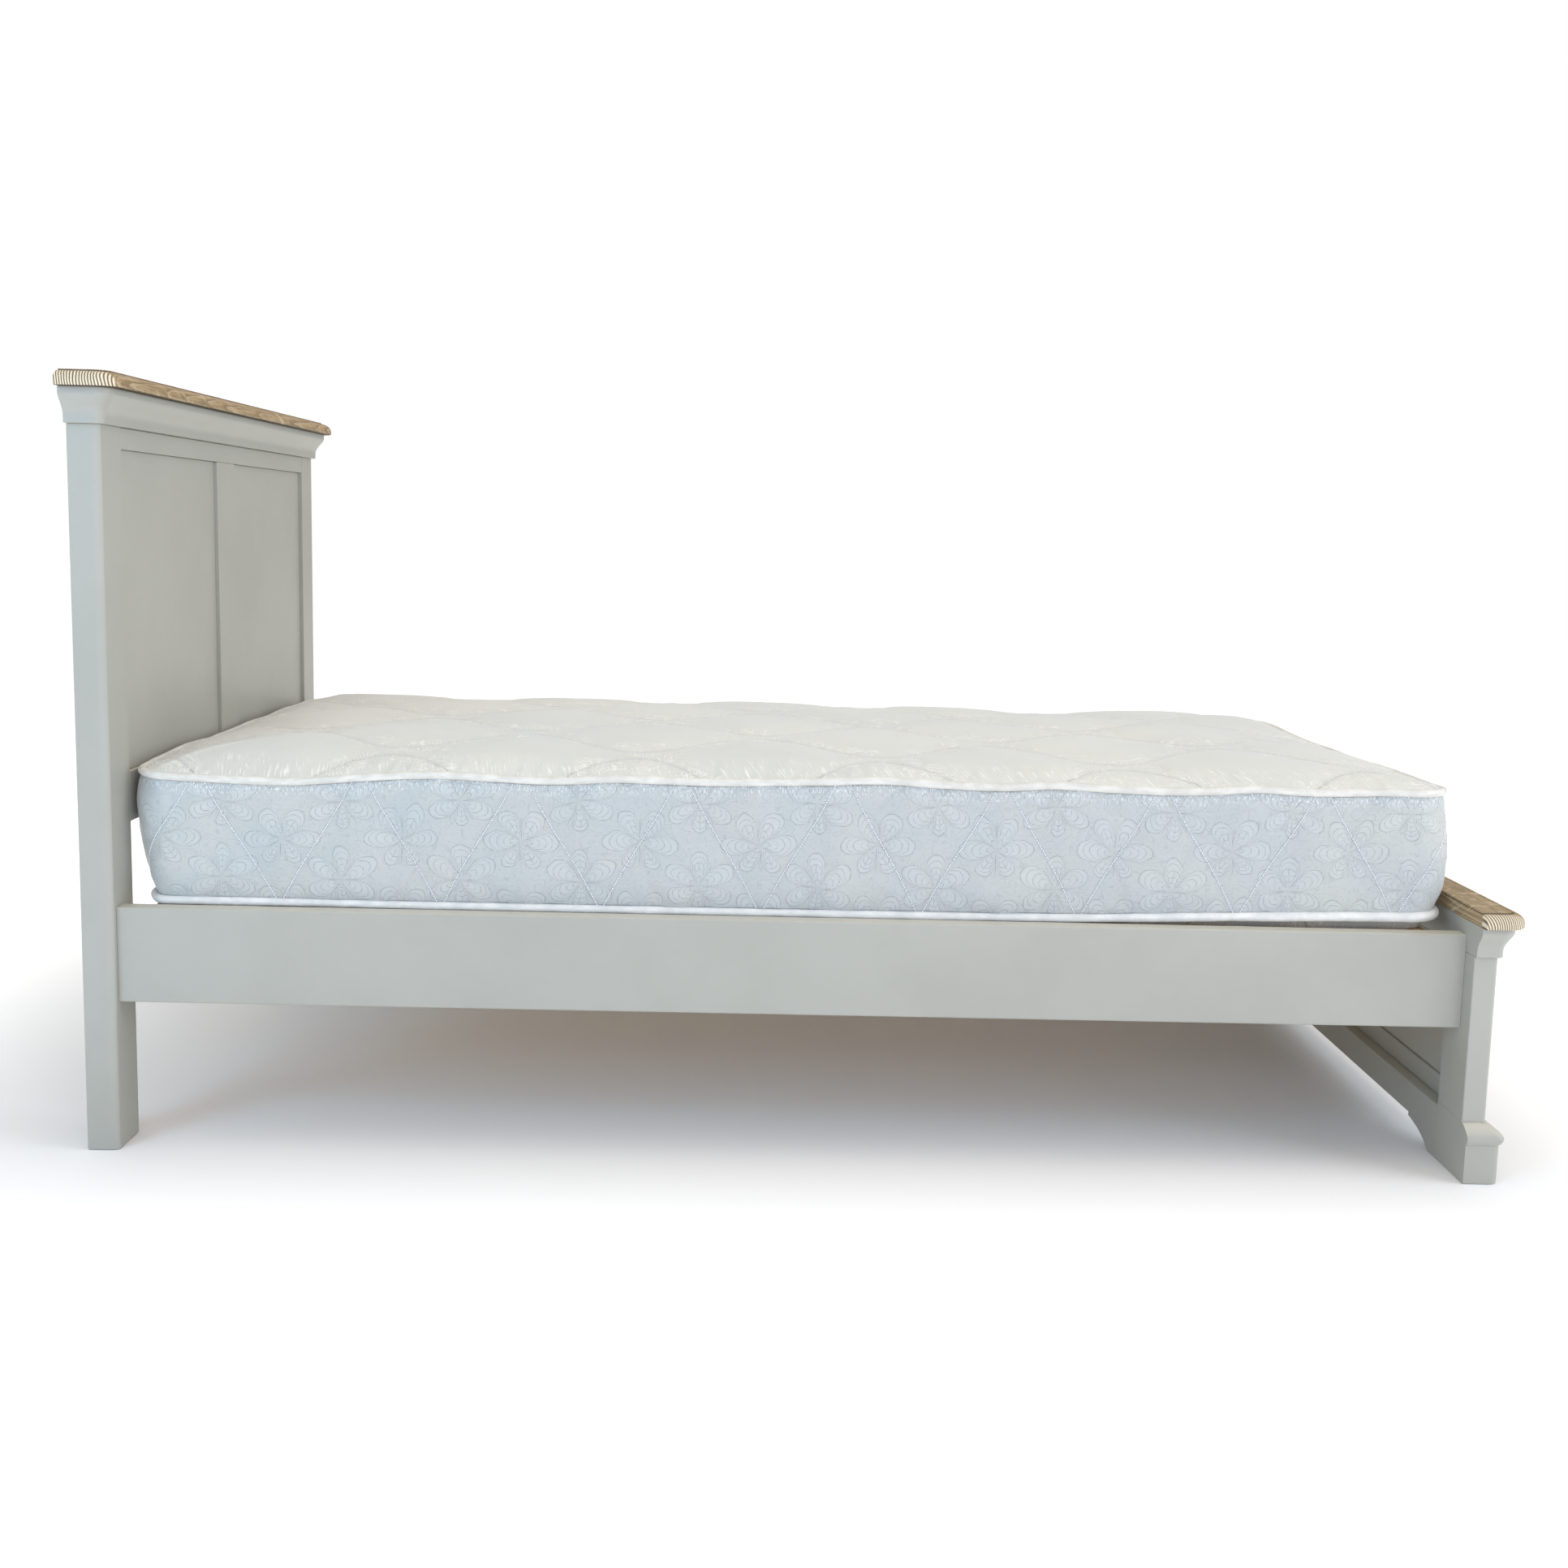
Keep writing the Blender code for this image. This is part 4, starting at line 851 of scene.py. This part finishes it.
def build_top(mat, mat_thread):
    step = 0.0070
    nx, ny = int(round(2 * MA / step)) + 1, int(round(2 * MB / step)) + 1
    step_x, step_y = 2 * MA / (nx - 1), 2 * MB / (ny - 1)
    gx, gy = np.meshgrid(MX0 + np.arange(nx) * step_x, -MB + np.arange(ny) * step_y, indexing="ij")
    gap = ogee_gap(gx, gy)
    edge = edge_gap(*to_plan(gx, gy))
    pin = (gap < step * 0.40) & (edge > 0.020) | (edge < 1e-4)
    move = quilt("quilt_top", nx, ny, step, pin, 1.6, 0.022, frames=16, cap=0.020)
    # one finer grid from the simulated one
    fx, fy = 2 * (nx - 1) + 1, 2 * (ny - 1) + 1
    u, v = np.meshgrid(np.arange(fx) / 2, np.arange(fy) / 2, indexing="ij")
    mv = bilinear(move, u, v)
    mv = relax(mv, 2)
    mv[..., 2] *= 0.36
    X, Y = np.meshgrid(np.linspace(MX0, MX1, fx), np.linspace(-MB, MB, fy), indexing="ij")
    px, py = to_plan(X + mv[..., 0], Y + mv[..., 1])
    px0, py0 = to_plan(X, Y)
    rim = (np.arange(fx)[:, None] % (fx - 1) == 0) | (np.arange(fy)[None] % (fy - 1) == 0)
    px, py = np.where(rim, px0, px), np.where(rim, py0, py)
    d = np.maximum(edge_gap(px, py), 0)
    crown = np.interp(d, CROWN_D, CROWN_H)
    rx, ry = nearest_rim(px, py)
    wave = top_wave(rx, ry) * np.exp(-(d / 0.09) ** 2)
    # a shallow dip past the middle, and a raised place near the foot
    slow = -0.0050 * np.exp(-((px - HEAD_X - 1.42) / 0.22) ** 2) + 0.0035 * np.exp(-((px - HEAD_X - 1.75) / 0.12) ** 2)
    slow = slow * smoothstep(d, 0.02, 0.15) + 0.0012 * hash_noise(px * 7, py * 7, 21) * smoothstep(d, 0.01, 0.08)
    # gathers that run in from the piping
    along = np.where(np.abs(ry) > MB - 1e-4, rx, ry)
    g = hash_noise(along * 75 + 3, d * 7, 31) * 0.6 + hash_noise(along * 150 + 7, d * 9, 32) * 0.4
    ripple = np.maximum(g, -0.35) * 0.0026 * smoothstep(d, 0.0, 0.014) * np.exp(-(d / 0.062) ** 2)
    # creases that fan out from the seams
    fan = hash_noise(px * 60, py * 22, 33) * 0.0006 * np.exp(-ogee_gap(px, py) / 0.02)
    z = TAPE_TOP + 0.0010 + crown * (TOP_Z - TAPE_TOP) / 0.0365 + wave + slow + ripple + fan
    z += (mv[..., 2] - 0.0035) * smoothstep(d, 0.0, 0.03)
    z = np.minimum(z, TOP_Z + 0.006)
    verts = np.stack([px.ravel(), py.ravel(), z.ravel()], 1)
    uv = np.stack([X.ravel(), Y.ravel()], 1)
    ob = mesh_object("mattress_top_quilted", verts, grid_faces(fx, fy), [mat], uv)
    # threads along the quilting lines
    grid = verts.reshape(fx, fy, 3)
    nrm_grid = np.cross(np.gradient(grid, axis=0), np.gradient(grid, axis=1))
    nrm_grid /= np.maximum(np.linalg.norm(nrm_grid, axis=2, keepdims=True), 1e-9)
    pts, nrms, dirs = [], [], []
    for kk in OGEE_LINES:
        xs = np.linspace(MX0 + 0.02, MX1 - 0.02, 12000)
        ys = ogee(xs, kk)
        run = np.concatenate([[0], np.cumsum(np.hypot(np.diff(xs), np.diff(ys)))])
        pick = np.searchsorted(run, np.arange(0, run[-1], 0.0044))
        pick = pick[(pick < len(xs) - 2) & (pick > 1)]
        sx, sy = xs[pick], ys[pick]
        keep = (np.abs(sy) < MB - 0.015) & (edge_gap(sx, sy) > 0.016)
        sx, sy = sx[keep], sy[keep]
        if not len(sx):
            continue
        at = lambda a, b: bilinear(grid, (a - MX0) / (2 * MA) * (fx - 1), (b + MB) / (2 * MB) * (fy - 1))
        p, q = at(sx, sy), at(sx + 0.001, ogee(sx + 0.001, kk))
        dd = q - p
        dd /= np.maximum(np.linalg.norm(dd, axis=1, keepdims=True), 1e-9)
        nn = bilinear(nrm_grid, (sx - MX0) / (2 * MA) * (fx - 1), (sy + MB) / (2 * MB) * (fy - 1))
        nn -= dd * np.sum(nn * dd, axis=1, keepdims=True)
        nn /= np.maximum(np.linalg.norm(nn, axis=1, keepdims=True), 1e-9)
        pts.append(p + nn * 0.0002), nrms.append(nn), dirs.append(dd)
    tv, tf = thread_run([(np.concatenate(pts), np.concatenate(nrms), np.concatenate(dirs))], 0.0030, 0.00055, 0.0006)
    th = mesh_object("top_stitching", tv, tf, [mat_thread])
    return ob, th


def relax(field, times):
    for _ in range(times):
        a = field.copy()
        a[1:-1, 1:-1] = (field[1:-1, 1:-1] * 4 + (field[:-2, 1:-1] + field[2:, 1:-1] + field[1:-1, :-2] + field[1:-1, 2:]) * 2
                         + (field[:-2, :-2] + field[2:, 2:] + field[:-2, 2:] + field[2:, :-2])) / 16
        field = a
    return field


def build_bottom(mat):
    nx, ny = 330, 160
    gx, gy = np.meshgrid(np.linspace(MX0, MX1, nx), np.linspace(-MB, MB, ny), indexing="ij")
    px, py = to_plan(gx, gy)
    d = np.maximum(edge_gap(px, py), 0)
    rx, ry = nearest_rim(px, py)
    inset = 0.0070 * np.exp(-d / 0.05)
    cx, cy = px - MXC, py
    x = MXC + cx * (1 - inset / MA)
    y = cy * (1 - inset / MB)
    edge = TAPE_LOW + low_wave(rx, ry)
    floor = SLAT_TOP + 0.0004
    # it sags a little into the spaces between the slats
    slats = [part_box("slat_%02d" % i) for i in range(1, 14)]
    gap = np.full(x.shape, 9.0)
    for lo, hi in slats:
        gap = np.minimum(gap, np.maximum(np.maximum(lo.x - x, x - hi.x), 0))
    sag = 0.0022 * smoothstep(gap, 0.002, 0.038) * smoothstep(d, 0.03, 0.08)
    z = edge - 0.0015 + (floor - edge + 0.0015) * smoothstep(d, 0.0, 0.012) - sag
    puff = 0.0006 * hash_noise(x * 40, y * 40, 41) * smoothstep(d, 0.004, 0.03)
    z = np.maximum(z + np.maximum(puff, 0), floor - sag)
    verts = np.stack([x.ravel(), y.ravel(), z.ravel()], 1)
    faces = grid_faces(nx, ny)[:, ::-1]
    return mesh_object("mattress_underside", verts, faces, [mat], np.stack([gx.ravel(), gy.ravel()], 1))


def build_piping(name, low, mat):
    cols, n = 1400, 14
    s = np.arange(cols) * PERIM / cols
    x0, y0, nx, ny = plan(s)
    off = low_inset(nx) if low else 0.0
    z = (TAPE_LOW + low_wave(x0, y0)) if low else (TAPE_TOP + top_wave(x0, y0))
    x, y, nx, ny = plan(s, off + 0.0012 + 0.0006 * hash_noise(s * 7, s * 0, 51))
    thick = 1 + (0.05 + 0.28 * smoothstep(x0 - HEAD_X, 1.3, 1.92)) * (1.0 if low else 0.0)
    r = PIPE_R * thick * (1 + 0.05 * hash_noise(s * 22, s * 0, 52) + 0.03 * hash_noise(s * 90, s * 0, 53))
    a = np.linspace(0, 2 * math.pi, n, endpoint=False)
    verts = np.empty((cols, n, 3))
    for k, ang in enumerate(a):
        rr = r * (1 + 0.012 * np.sin(s * 2 * math.pi / 0.0065 + ang * 2))
        verts[:, k, 0] = x + nx * rr * math.cos(ang)
        verts[:, k, 1] = y + ny * rr * math.cos(ang)
        verts[:, k, 2] = z + rr * 0.96 * math.sin(ang)
    i = np.repeat(np.arange(cols), n)
    j = np.tile(np.arange(n), cols)
    i2, j2 = (i + 1) % cols, (j + 1) % n
    faces = np.stack([i * n + j, i2 * n + j, i2 * n + j2, i * n + j2], 1)
    ob = mesh_object(name, verts.reshape(-1, 3), faces, [mat], None)
    layer = ob.data.uv_layers.new(name="cloth")
    si, sj = s[i], j / n
    quad = np.stack([np.stack([si, sj], 1), np.stack([si + PERIM / cols, sj], 1), np.stack([si + PERIM / cols, sj + 1 / n], 1),
                     np.stack([si, sj + 1 / n], 1)], 1)
    layer.uv.foreach_set("vector", quad.astype(np.float32).ravel())
    return ob


# ------------------------------------------------------------------ wooden pieces with finer shapes
def ring(x_in, x_out, y_a, y_b, off, corner, steps, grow=1.0):
    """A moulding's outline in plan at one projection, rounded at the corners that show."""
    r = max(corner + grow * off, 0.0008)
    s = 1.0 if x_out > x_in else -1.0
    xo = x_out + s * off
    lo, hi = y_a - off, y_b + off
    pts = [(x_in, lo)]
    for i in range(steps + 1):
        a = math.pi / 2 * i / steps
        pts.append((xo - s * r + s * r * math.sin(a), lo + r - r * math.cos(a)))
    for i in range(steps + 1):
        a = math.pi / 2 * i / steps
        pts.append((xo - s * r + s * r * math.cos(a), hi - r + r * math.sin(a)))
    pts.append((x_in, hi))
    return pts


def moulded(name, profile, x_in, x_out, half, corner, mat, body, node, steps=14, grow=1.0, shade_rows=()):
    loops = [ring(x_in, x_out, -half, half, off, corner, steps, grow) for off, z in profile]
    zs = [z for off, z in profile]
    n = len(loops[0])
    verts, faces = [], []
    for pts, z in zip(loops, zs):
        for x, y in pts:
            verts.append((x, y, z))
    rows = len(loops)
    flip = x_out < x_in
    for r in range(rows - 1):
        for i in range(n):
            j = (i + 1) % n
            q = (r * n + i, r * n + j, (r + 1) * n + j, (r + 1) * n + i)
            faces.append(q[::-1] if flip else q)
    bottom, top = tuple(range(n)), tuple((rows - 1) * n + i for i in range(n))
    faces.append(bottom if flip else bottom[::-1])
    faces.append(top[::-1] if flip else top)
    ob = mesh_object(name, verts, faces, [mat])
    # this uv layer carries painted shade: the listed rows are painted dark in the oak, the underside in full and the
    # quirk a little less
    layer = ob.data.uv_layers.new(name="stain")
    for poly in ob.data.polygons:
        row = poly.index // n if poly.index < (rows - 1) * n else poly.index - (rows - 1) * n - 2
        depth = (0.62 if row > 4 else 1.0) if row in shade_rows else 0.0
        if row > 4 and poly.index % n == n - 1:
            depth = 0.0                                        # the quirk isn't cut along the plain inner face
        for k in poly.loop_indices:
            layer.uv[k].vector = (depth, 0.0)
    ob.data.set_sharp_from_angle(angle=math.radians(38))
    mod = ob.modifiers.new("weights", "WEIGHTED_NORMAL")
    mod.keep_sharp = True
    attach(ob, body)
    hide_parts(node)
    return ob


def cap_profile(z0, z1, nose):
    """Underside, bottom fillet, a rounded nose, and a cut quirk round the raised flat top."""
    h = z1 - z0
    fillet, quirk = 0.20 * h, 0.0026
    run = 0.0155
    pts = [(0.004, z0), (nose - 0.0026, z0), (nose - 0.0012, z0 + 0.0004), (nose - 0.0003, z0 + 0.0014), (nose, z0 + fillet)]
    n = 14
    for i in range(1, n + 1):
        a = math.pi / 2 * i / n
        pts.append((nose - run + run * math.cos(a), z0 + fillet + (h - fillet - quirk) * math.sin(a)))
    pts += [(nose - run - 0.0005, z1 - quirk - 0.0010), (nose - run - 0.0017, z1 - quirk - 0.0010), (nose - run - 0.0020, z1 - 0.0006),
            (nose - run - 0.0028, z1)]
    return pts


# profile rows of each oak cap painted dark as shade: the underside and the quirk
CAP_SHADE_ROWS = (-2, 0, 1, 18, 19, 20)


def cornice_profile(z0, z1, low, high):
    """A flat fillet below, a soft S that sweeps out, and a plain lip under the cap."""
    h = z1 - z0
    pts = [(low - 0.0012, z0), (low - 0.0003, z0 + 0.0004), (low, z0 + 0.0012)]
    n = 18
    for i in range(n + 1):
        u = i / n
        w = u ** 1.25
        pts.append((low + (high - low) * w * w * (3 - 2 * w), z0 + (0.17 + 0.68 * u) * h))
    pts += [(high, z1 - 0.0010), (high - 0.0006, z1)]
    return pts


def arris_post(node, along, across):
    """A head post with a broad worn arris on its outer front corner, along x and across y."""
    lo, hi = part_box(node)
    left = lo.y < 0
    yo, yi = (lo.y, hi.y) if left else (hi.y, lo.y)            # outer and inner faces
    s = 1.0 if left else -1.0
    loop = [(lo.x, yi), (lo.x, yo + s * 0.0012), (lo.x + 0.0012, yo)]
    n = 16
    for i in range(n + 1):
        a = math.pi / 2 * i / n
        loop.append((hi.x - along + along * math.sin(a), yo + s * (across - across * math.cos(a))))
    loop += [(hi.x, yi)]
    m = len(loop)
    cx, cy = (lo.x + hi.x) / 2, (yo + yi) / 2
    levels = [(lo.z, 0.0010), (lo.z + 0.0010, 0.0), (hi.z, 0.0)]
    verts = [(x + math.copysign(min(c, abs(x - cx)), cx - x), y + math.copysign(min(c, abs(y - cy)), cy - y), z) for z, c in levels for x, y in loop]
    faces = []
    for r in range(len(levels) - 1):
        for i in range(m):
            j = (i + 1) % m
            faces.append((r * m + i, r * m + j, (r + 1) * m + j, (r + 1) * m + i))
    faces += [tuple(range(m))[::-1], tuple((len(levels) - 1) * m + i for i in range(m))]
    if not left:
        faces = [q[::-1] for q in faces]
    ob = mesh_object(node + "_worn", verts, faces, [PAINT])
    ob.data.set_sharp_from_angle(angle=math.radians(35))
    mod = ob.modifiers.new("weights", "WEIGHTED_NORMAL")
    mod.keep_sharp = True
    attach(ob, "bedstead")
    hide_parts(node)
    return ob


def smoothed(node, body, mat, angle=40):
    """A CAD piece with curved faces, shaded as the smooth shape that it stands for."""
    src = NODES[node]
    bm = bmesh.new()
    bm.from_mesh(src.data)
    bmesh.ops.remove_doubles(bm, verts=bm.verts, dist=2e-5)
    me = bpy.data.meshes.new(node + "_smooth")
    bm.to_mesh(me)
    bm.free()
    for a in list(me.attributes):
        if a.name == "custom_normal":
            me.attributes.remove(a)
    me.materials.append(mat)
    me.shade_smooth()
    me.set_sharp_from_angle(angle=math.radians(angle))
    ob = bpy.data.objects.new(node + "_smooth", me)
    COLL.objects.link(ob)
    mod = ob.modifiers.new("weights", "WEIGHTED_NORMAL")
    mod.keep_sharp = True
    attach(ob, body)
    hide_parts(node)
    return ob


# ------------------------------------------------------------------ build
PAINT = painted_wood()
OAK_HEAD = limed_oak("limed_oak_head", (HEAD_X - 0.175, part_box("head_oak_cap")[0].z - 0.030), (0.03, 0.016), HEAD_HALF + 0.0185, 262.0)
OAK_FOOT = limed_oak("limed_oak_foot", (FOOT_X - 0.090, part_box("foot_oak_cap")[0].z - 0.034), (-0.018, 0.015), FOOT_HALF + 0.0120, 400.0)
PINE = pine()
ZINC = zinc()
BORDER = border_cloth()
TOP = top_cloth()
UNDER = top_cloth("underside_damask_cloth")
PIPE_TOP = piping_cloth("piping_ivory", lin(228, 226, 218), lin(208, 206, 198))
PIPE_LOW = piping_cloth("piping_white", lin(238, 237, 232), lin(218, 219, 216))
THREAD = thread()

SLOT_MAT = {"painted_wood": PAINT, "pine": PINE, "zinc_steel": ZINC, "limed_oak": OAK_HEAD, "border_damask": BORDER, "top_damask": TOP,
            "tape": PIPE_TOP}
for row in frame["record"]["subparts"]:
    ob = NODES[row["node"]]
    mat = SLOT_MAT[row["material_slot"]]
    if len(ob.material_slots) == 0:
        ob.data.materials.append(mat)
    for s_ in ob.material_slots:
        s_.material = mat

hb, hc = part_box("head_cornice"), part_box("head_oak_cap")
moulded("head_cornice_run", cornice_profile(hb[0].z, hb[1].z, 0.0080, hb[1].x - HEAD_X), HEAD_BACK, HEAD_X, HEAD_HALF, 0.0075,
        PAINT, "bedstead", "head_cornice", grow=0.6)
moulded("head_cap_oak", cap_profile(hc[0].z, hc[1].z, hc[1].x - HEAD_X), HEAD_BACK, HEAD_X, HEAD_HALF, 0.0075,
        OAK_HEAD, "bedstead", "head_oak_cap", grow=0.6, shade_rows=CAP_SHADE_ROWS)
fb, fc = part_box("foot_cornice"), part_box("foot_oak_cap")
moulded("foot_cornice_run", cornice_profile(fb[0].z, fb[1].z, 0.0060, fb[1].x - FOOT_OUT), FOOT_X, FOOT_OUT, FOOT_HALF, 0.0045,
        PAINT, "bedstead", "foot_cornice")
moulded("foot_cap_oak", cap_profile(fc[0].z, fc[1].z, fc[1].x - FOOT_OUT), FOOT_X, FOOT_OUT, FOOT_HALF, 0.0045,
        OAK_FOOT, "bedstead", "foot_oak_cap", shade_rows=CAP_SHADE_ROWS)
arris_post("head_post_left", 0.014, 0.007)
arris_post("head_post_right", 0.014, 0.007)
for side in ("left", "right"):
    smoothed("foot_plinth_" + side, "bedstead", PAINT, 42)
    smoothed("foot_bracket_" + side, "bedstead", PAINT, 30)

border, border_thread = build_border(BORDER, THREAD)
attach(border, "mattress")
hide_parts("mattress_border_and_springs")
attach(border_thread, "mattress")
top, top_thread = build_top(TOP, THREAD)
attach(top, "mattress")
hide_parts("mattress_top_panel")
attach(top_thread, "mattress")
under = build_bottom(UNDER)
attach(under, "mattress")
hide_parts("mattress_bottom_panel")
pipe_top = build_piping("piping_top", False, PIPE_TOP)
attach(pipe_top, "mattress")
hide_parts("mattress_tape_top")
pipe_low = build_piping("piping_bottom", True, PIPE_LOW)
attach(pipe_low, "mattress")
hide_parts("mattress_tape_bottom")

# ------------------------------------------------------------------ stage, light and camera
f = Finish("studio_floor")
cloud = f.noise(f.coords(), 0.8, 2)
f.set(color=f.mix(cloud, (0.95, 0.95, 0.95), (0.96, 0.96, 0.96)), rough=f.add(0.85, f.mul(cloud, 0.05)), spec=0.1)
# painted light: the floor glows by itself away from the bed, more with distance from its footprint, so the floor near
# and under the bed looks darker
ax, ay, _z = f.split(f.coords())
dx, dy = f.m("MAXIMUM", f.sub(f.m("ABSOLUTE", ax), 0.98), 0.0), f.m("MAXIMUM", f.sub(f.m("ABSOLUTE", ay), 0.42), 0.0)
away = f.m("SQRT", f.add(f.mul(dx, dx), f.mul(dy, dy)))
f.put(f.bsdf.inputs["Emission Strength"], f.mul(f.step(away, 0.0, 1.0), 0.50))
f.bsdf.inputs["Emission Color"].default_value = (0.97, 0.99, 1.0, 1.0)
floor = mesh_object("floor", [(-14, -14, -0.0006), (14, -14, -0.0006), (14, 14, -0.0006), (-14, 14, -0.0006)], [(0, 1, 2, 3)], [f.mat])

world = bpy.data.worlds.new("studio")
bpy.context.scene.world = world
world.use_nodes = True
wt = world.node_tree
wt.nodes.clear()
w_out = wt.nodes.new("ShaderNodeOutputWorld")
seen, lit, pick_bg = wt.nodes.new("ShaderNodeBackground"), wt.nodes.new("ShaderNodeBackground"), wt.nodes.new("ShaderNodeMixShader")
path = wt.nodes.new("ShaderNodeLightPath")
seen.inputs["Color"].default_value, seen.inputs["Strength"].default_value = (1, 1, 1, 1), 1.0
lit.inputs["Color"].default_value, lit.inputs["Strength"].default_value = (1, 1, 1, 1), 0.50
wt.links.new(path.outputs["Is Camera Ray"], pick_bg.inputs[0])
wt.links.new(lit.outputs[0], pick_bg.inputs[1])
wt.links.new(seen.outputs[0], pick_bg.inputs[2])
wt.links.new(pick_bg.outputs[0], w_out.inputs[0])


def area(name, at, aim, size, power, color):
    data = bpy.data.lights.new(name, "AREA")
    data.shape = "RECTANGLE"
    data.size, data.size_y = size
    data.energy = power
    data.color = color
    ob = bpy.data.objects.new(name, data)
    COLL.objects.link(ob)
    ob.location = at
    ob.rotation_mode = "QUATERNION"
    ob.rotation_quaternion = (Vector(aim) - Vector(at)).to_track_quat("-Z", "Y")
    return ob


area("overhead", (0.1, -0.2, 4.2), (0, 0, 0), (4.5, 3.5), 62, (1.0, 0.91, 0.76))
area("cool_side", (-2.5, -2.9, 2.0), (-0.95, -0.5, 0.85), (1.6, 1.8), 36, (0.36, 0.69, 1.0))
area("cool_front", (0.5, -5.0, 1.5), (0.2, -0.4, 0.4), (4.0, 2.2), 58, (0.70, 0.74, 1.0))
area("foot_side", (4.2, -1.6, 2.0), (0.2, 0, 0.5), (2.6, 2.2), 78, (0.78, 0.88, 1.0))
sun = bpy.data.lights.new("sky_glow", "SUN")
sun.energy, sun.angle = 0.30, math.radians(75)
sun.color = (1.0, 0.65, 0.37)
sun_ob = bpy.data.objects.new("sky_glow", sun)
COLL.objects.link(sun_ob)
sun_ob.rotation_euler = (math.radians(12), math.radians(8), 0)

cam_data = bpy.data.cameras.new("camera")
cam_data.sensor_width = 36
cam_data.sensor_fit = "HORIZONTAL"
cam_data.lens = 35.9223
cam_data.shift_y = -0.03946
cam_data.clip_start, cam_data.clip_end = 0.05, 60
cam = bpy.data.objects.new("camera", cam_data)
COLL.objects.link(cam)
rows = [(0.99965277, -0.01150943, 0.02370365), (0.02215780, -0.11967058, -0.99256636), (0.01426050, 0.99274694, -0.11937400)]
right, down, ahead = (Vector(r) for r in rows)
cam.matrix_world = Matrix.Translation((HEAD_X + 0.91946, -2.70205, 0.91194)) @ Matrix((
    (right.x, -down.x, -ahead.x), (right.y, -down.y, -ahead.y), (right.z, -down.z, -ahead.z))).to_4x4()
bpy.context.scene.camera = cam
bpy.context.scene.view_settings.view_transform = "Standard"
bpy.context.scene.view_settings.look = "None"
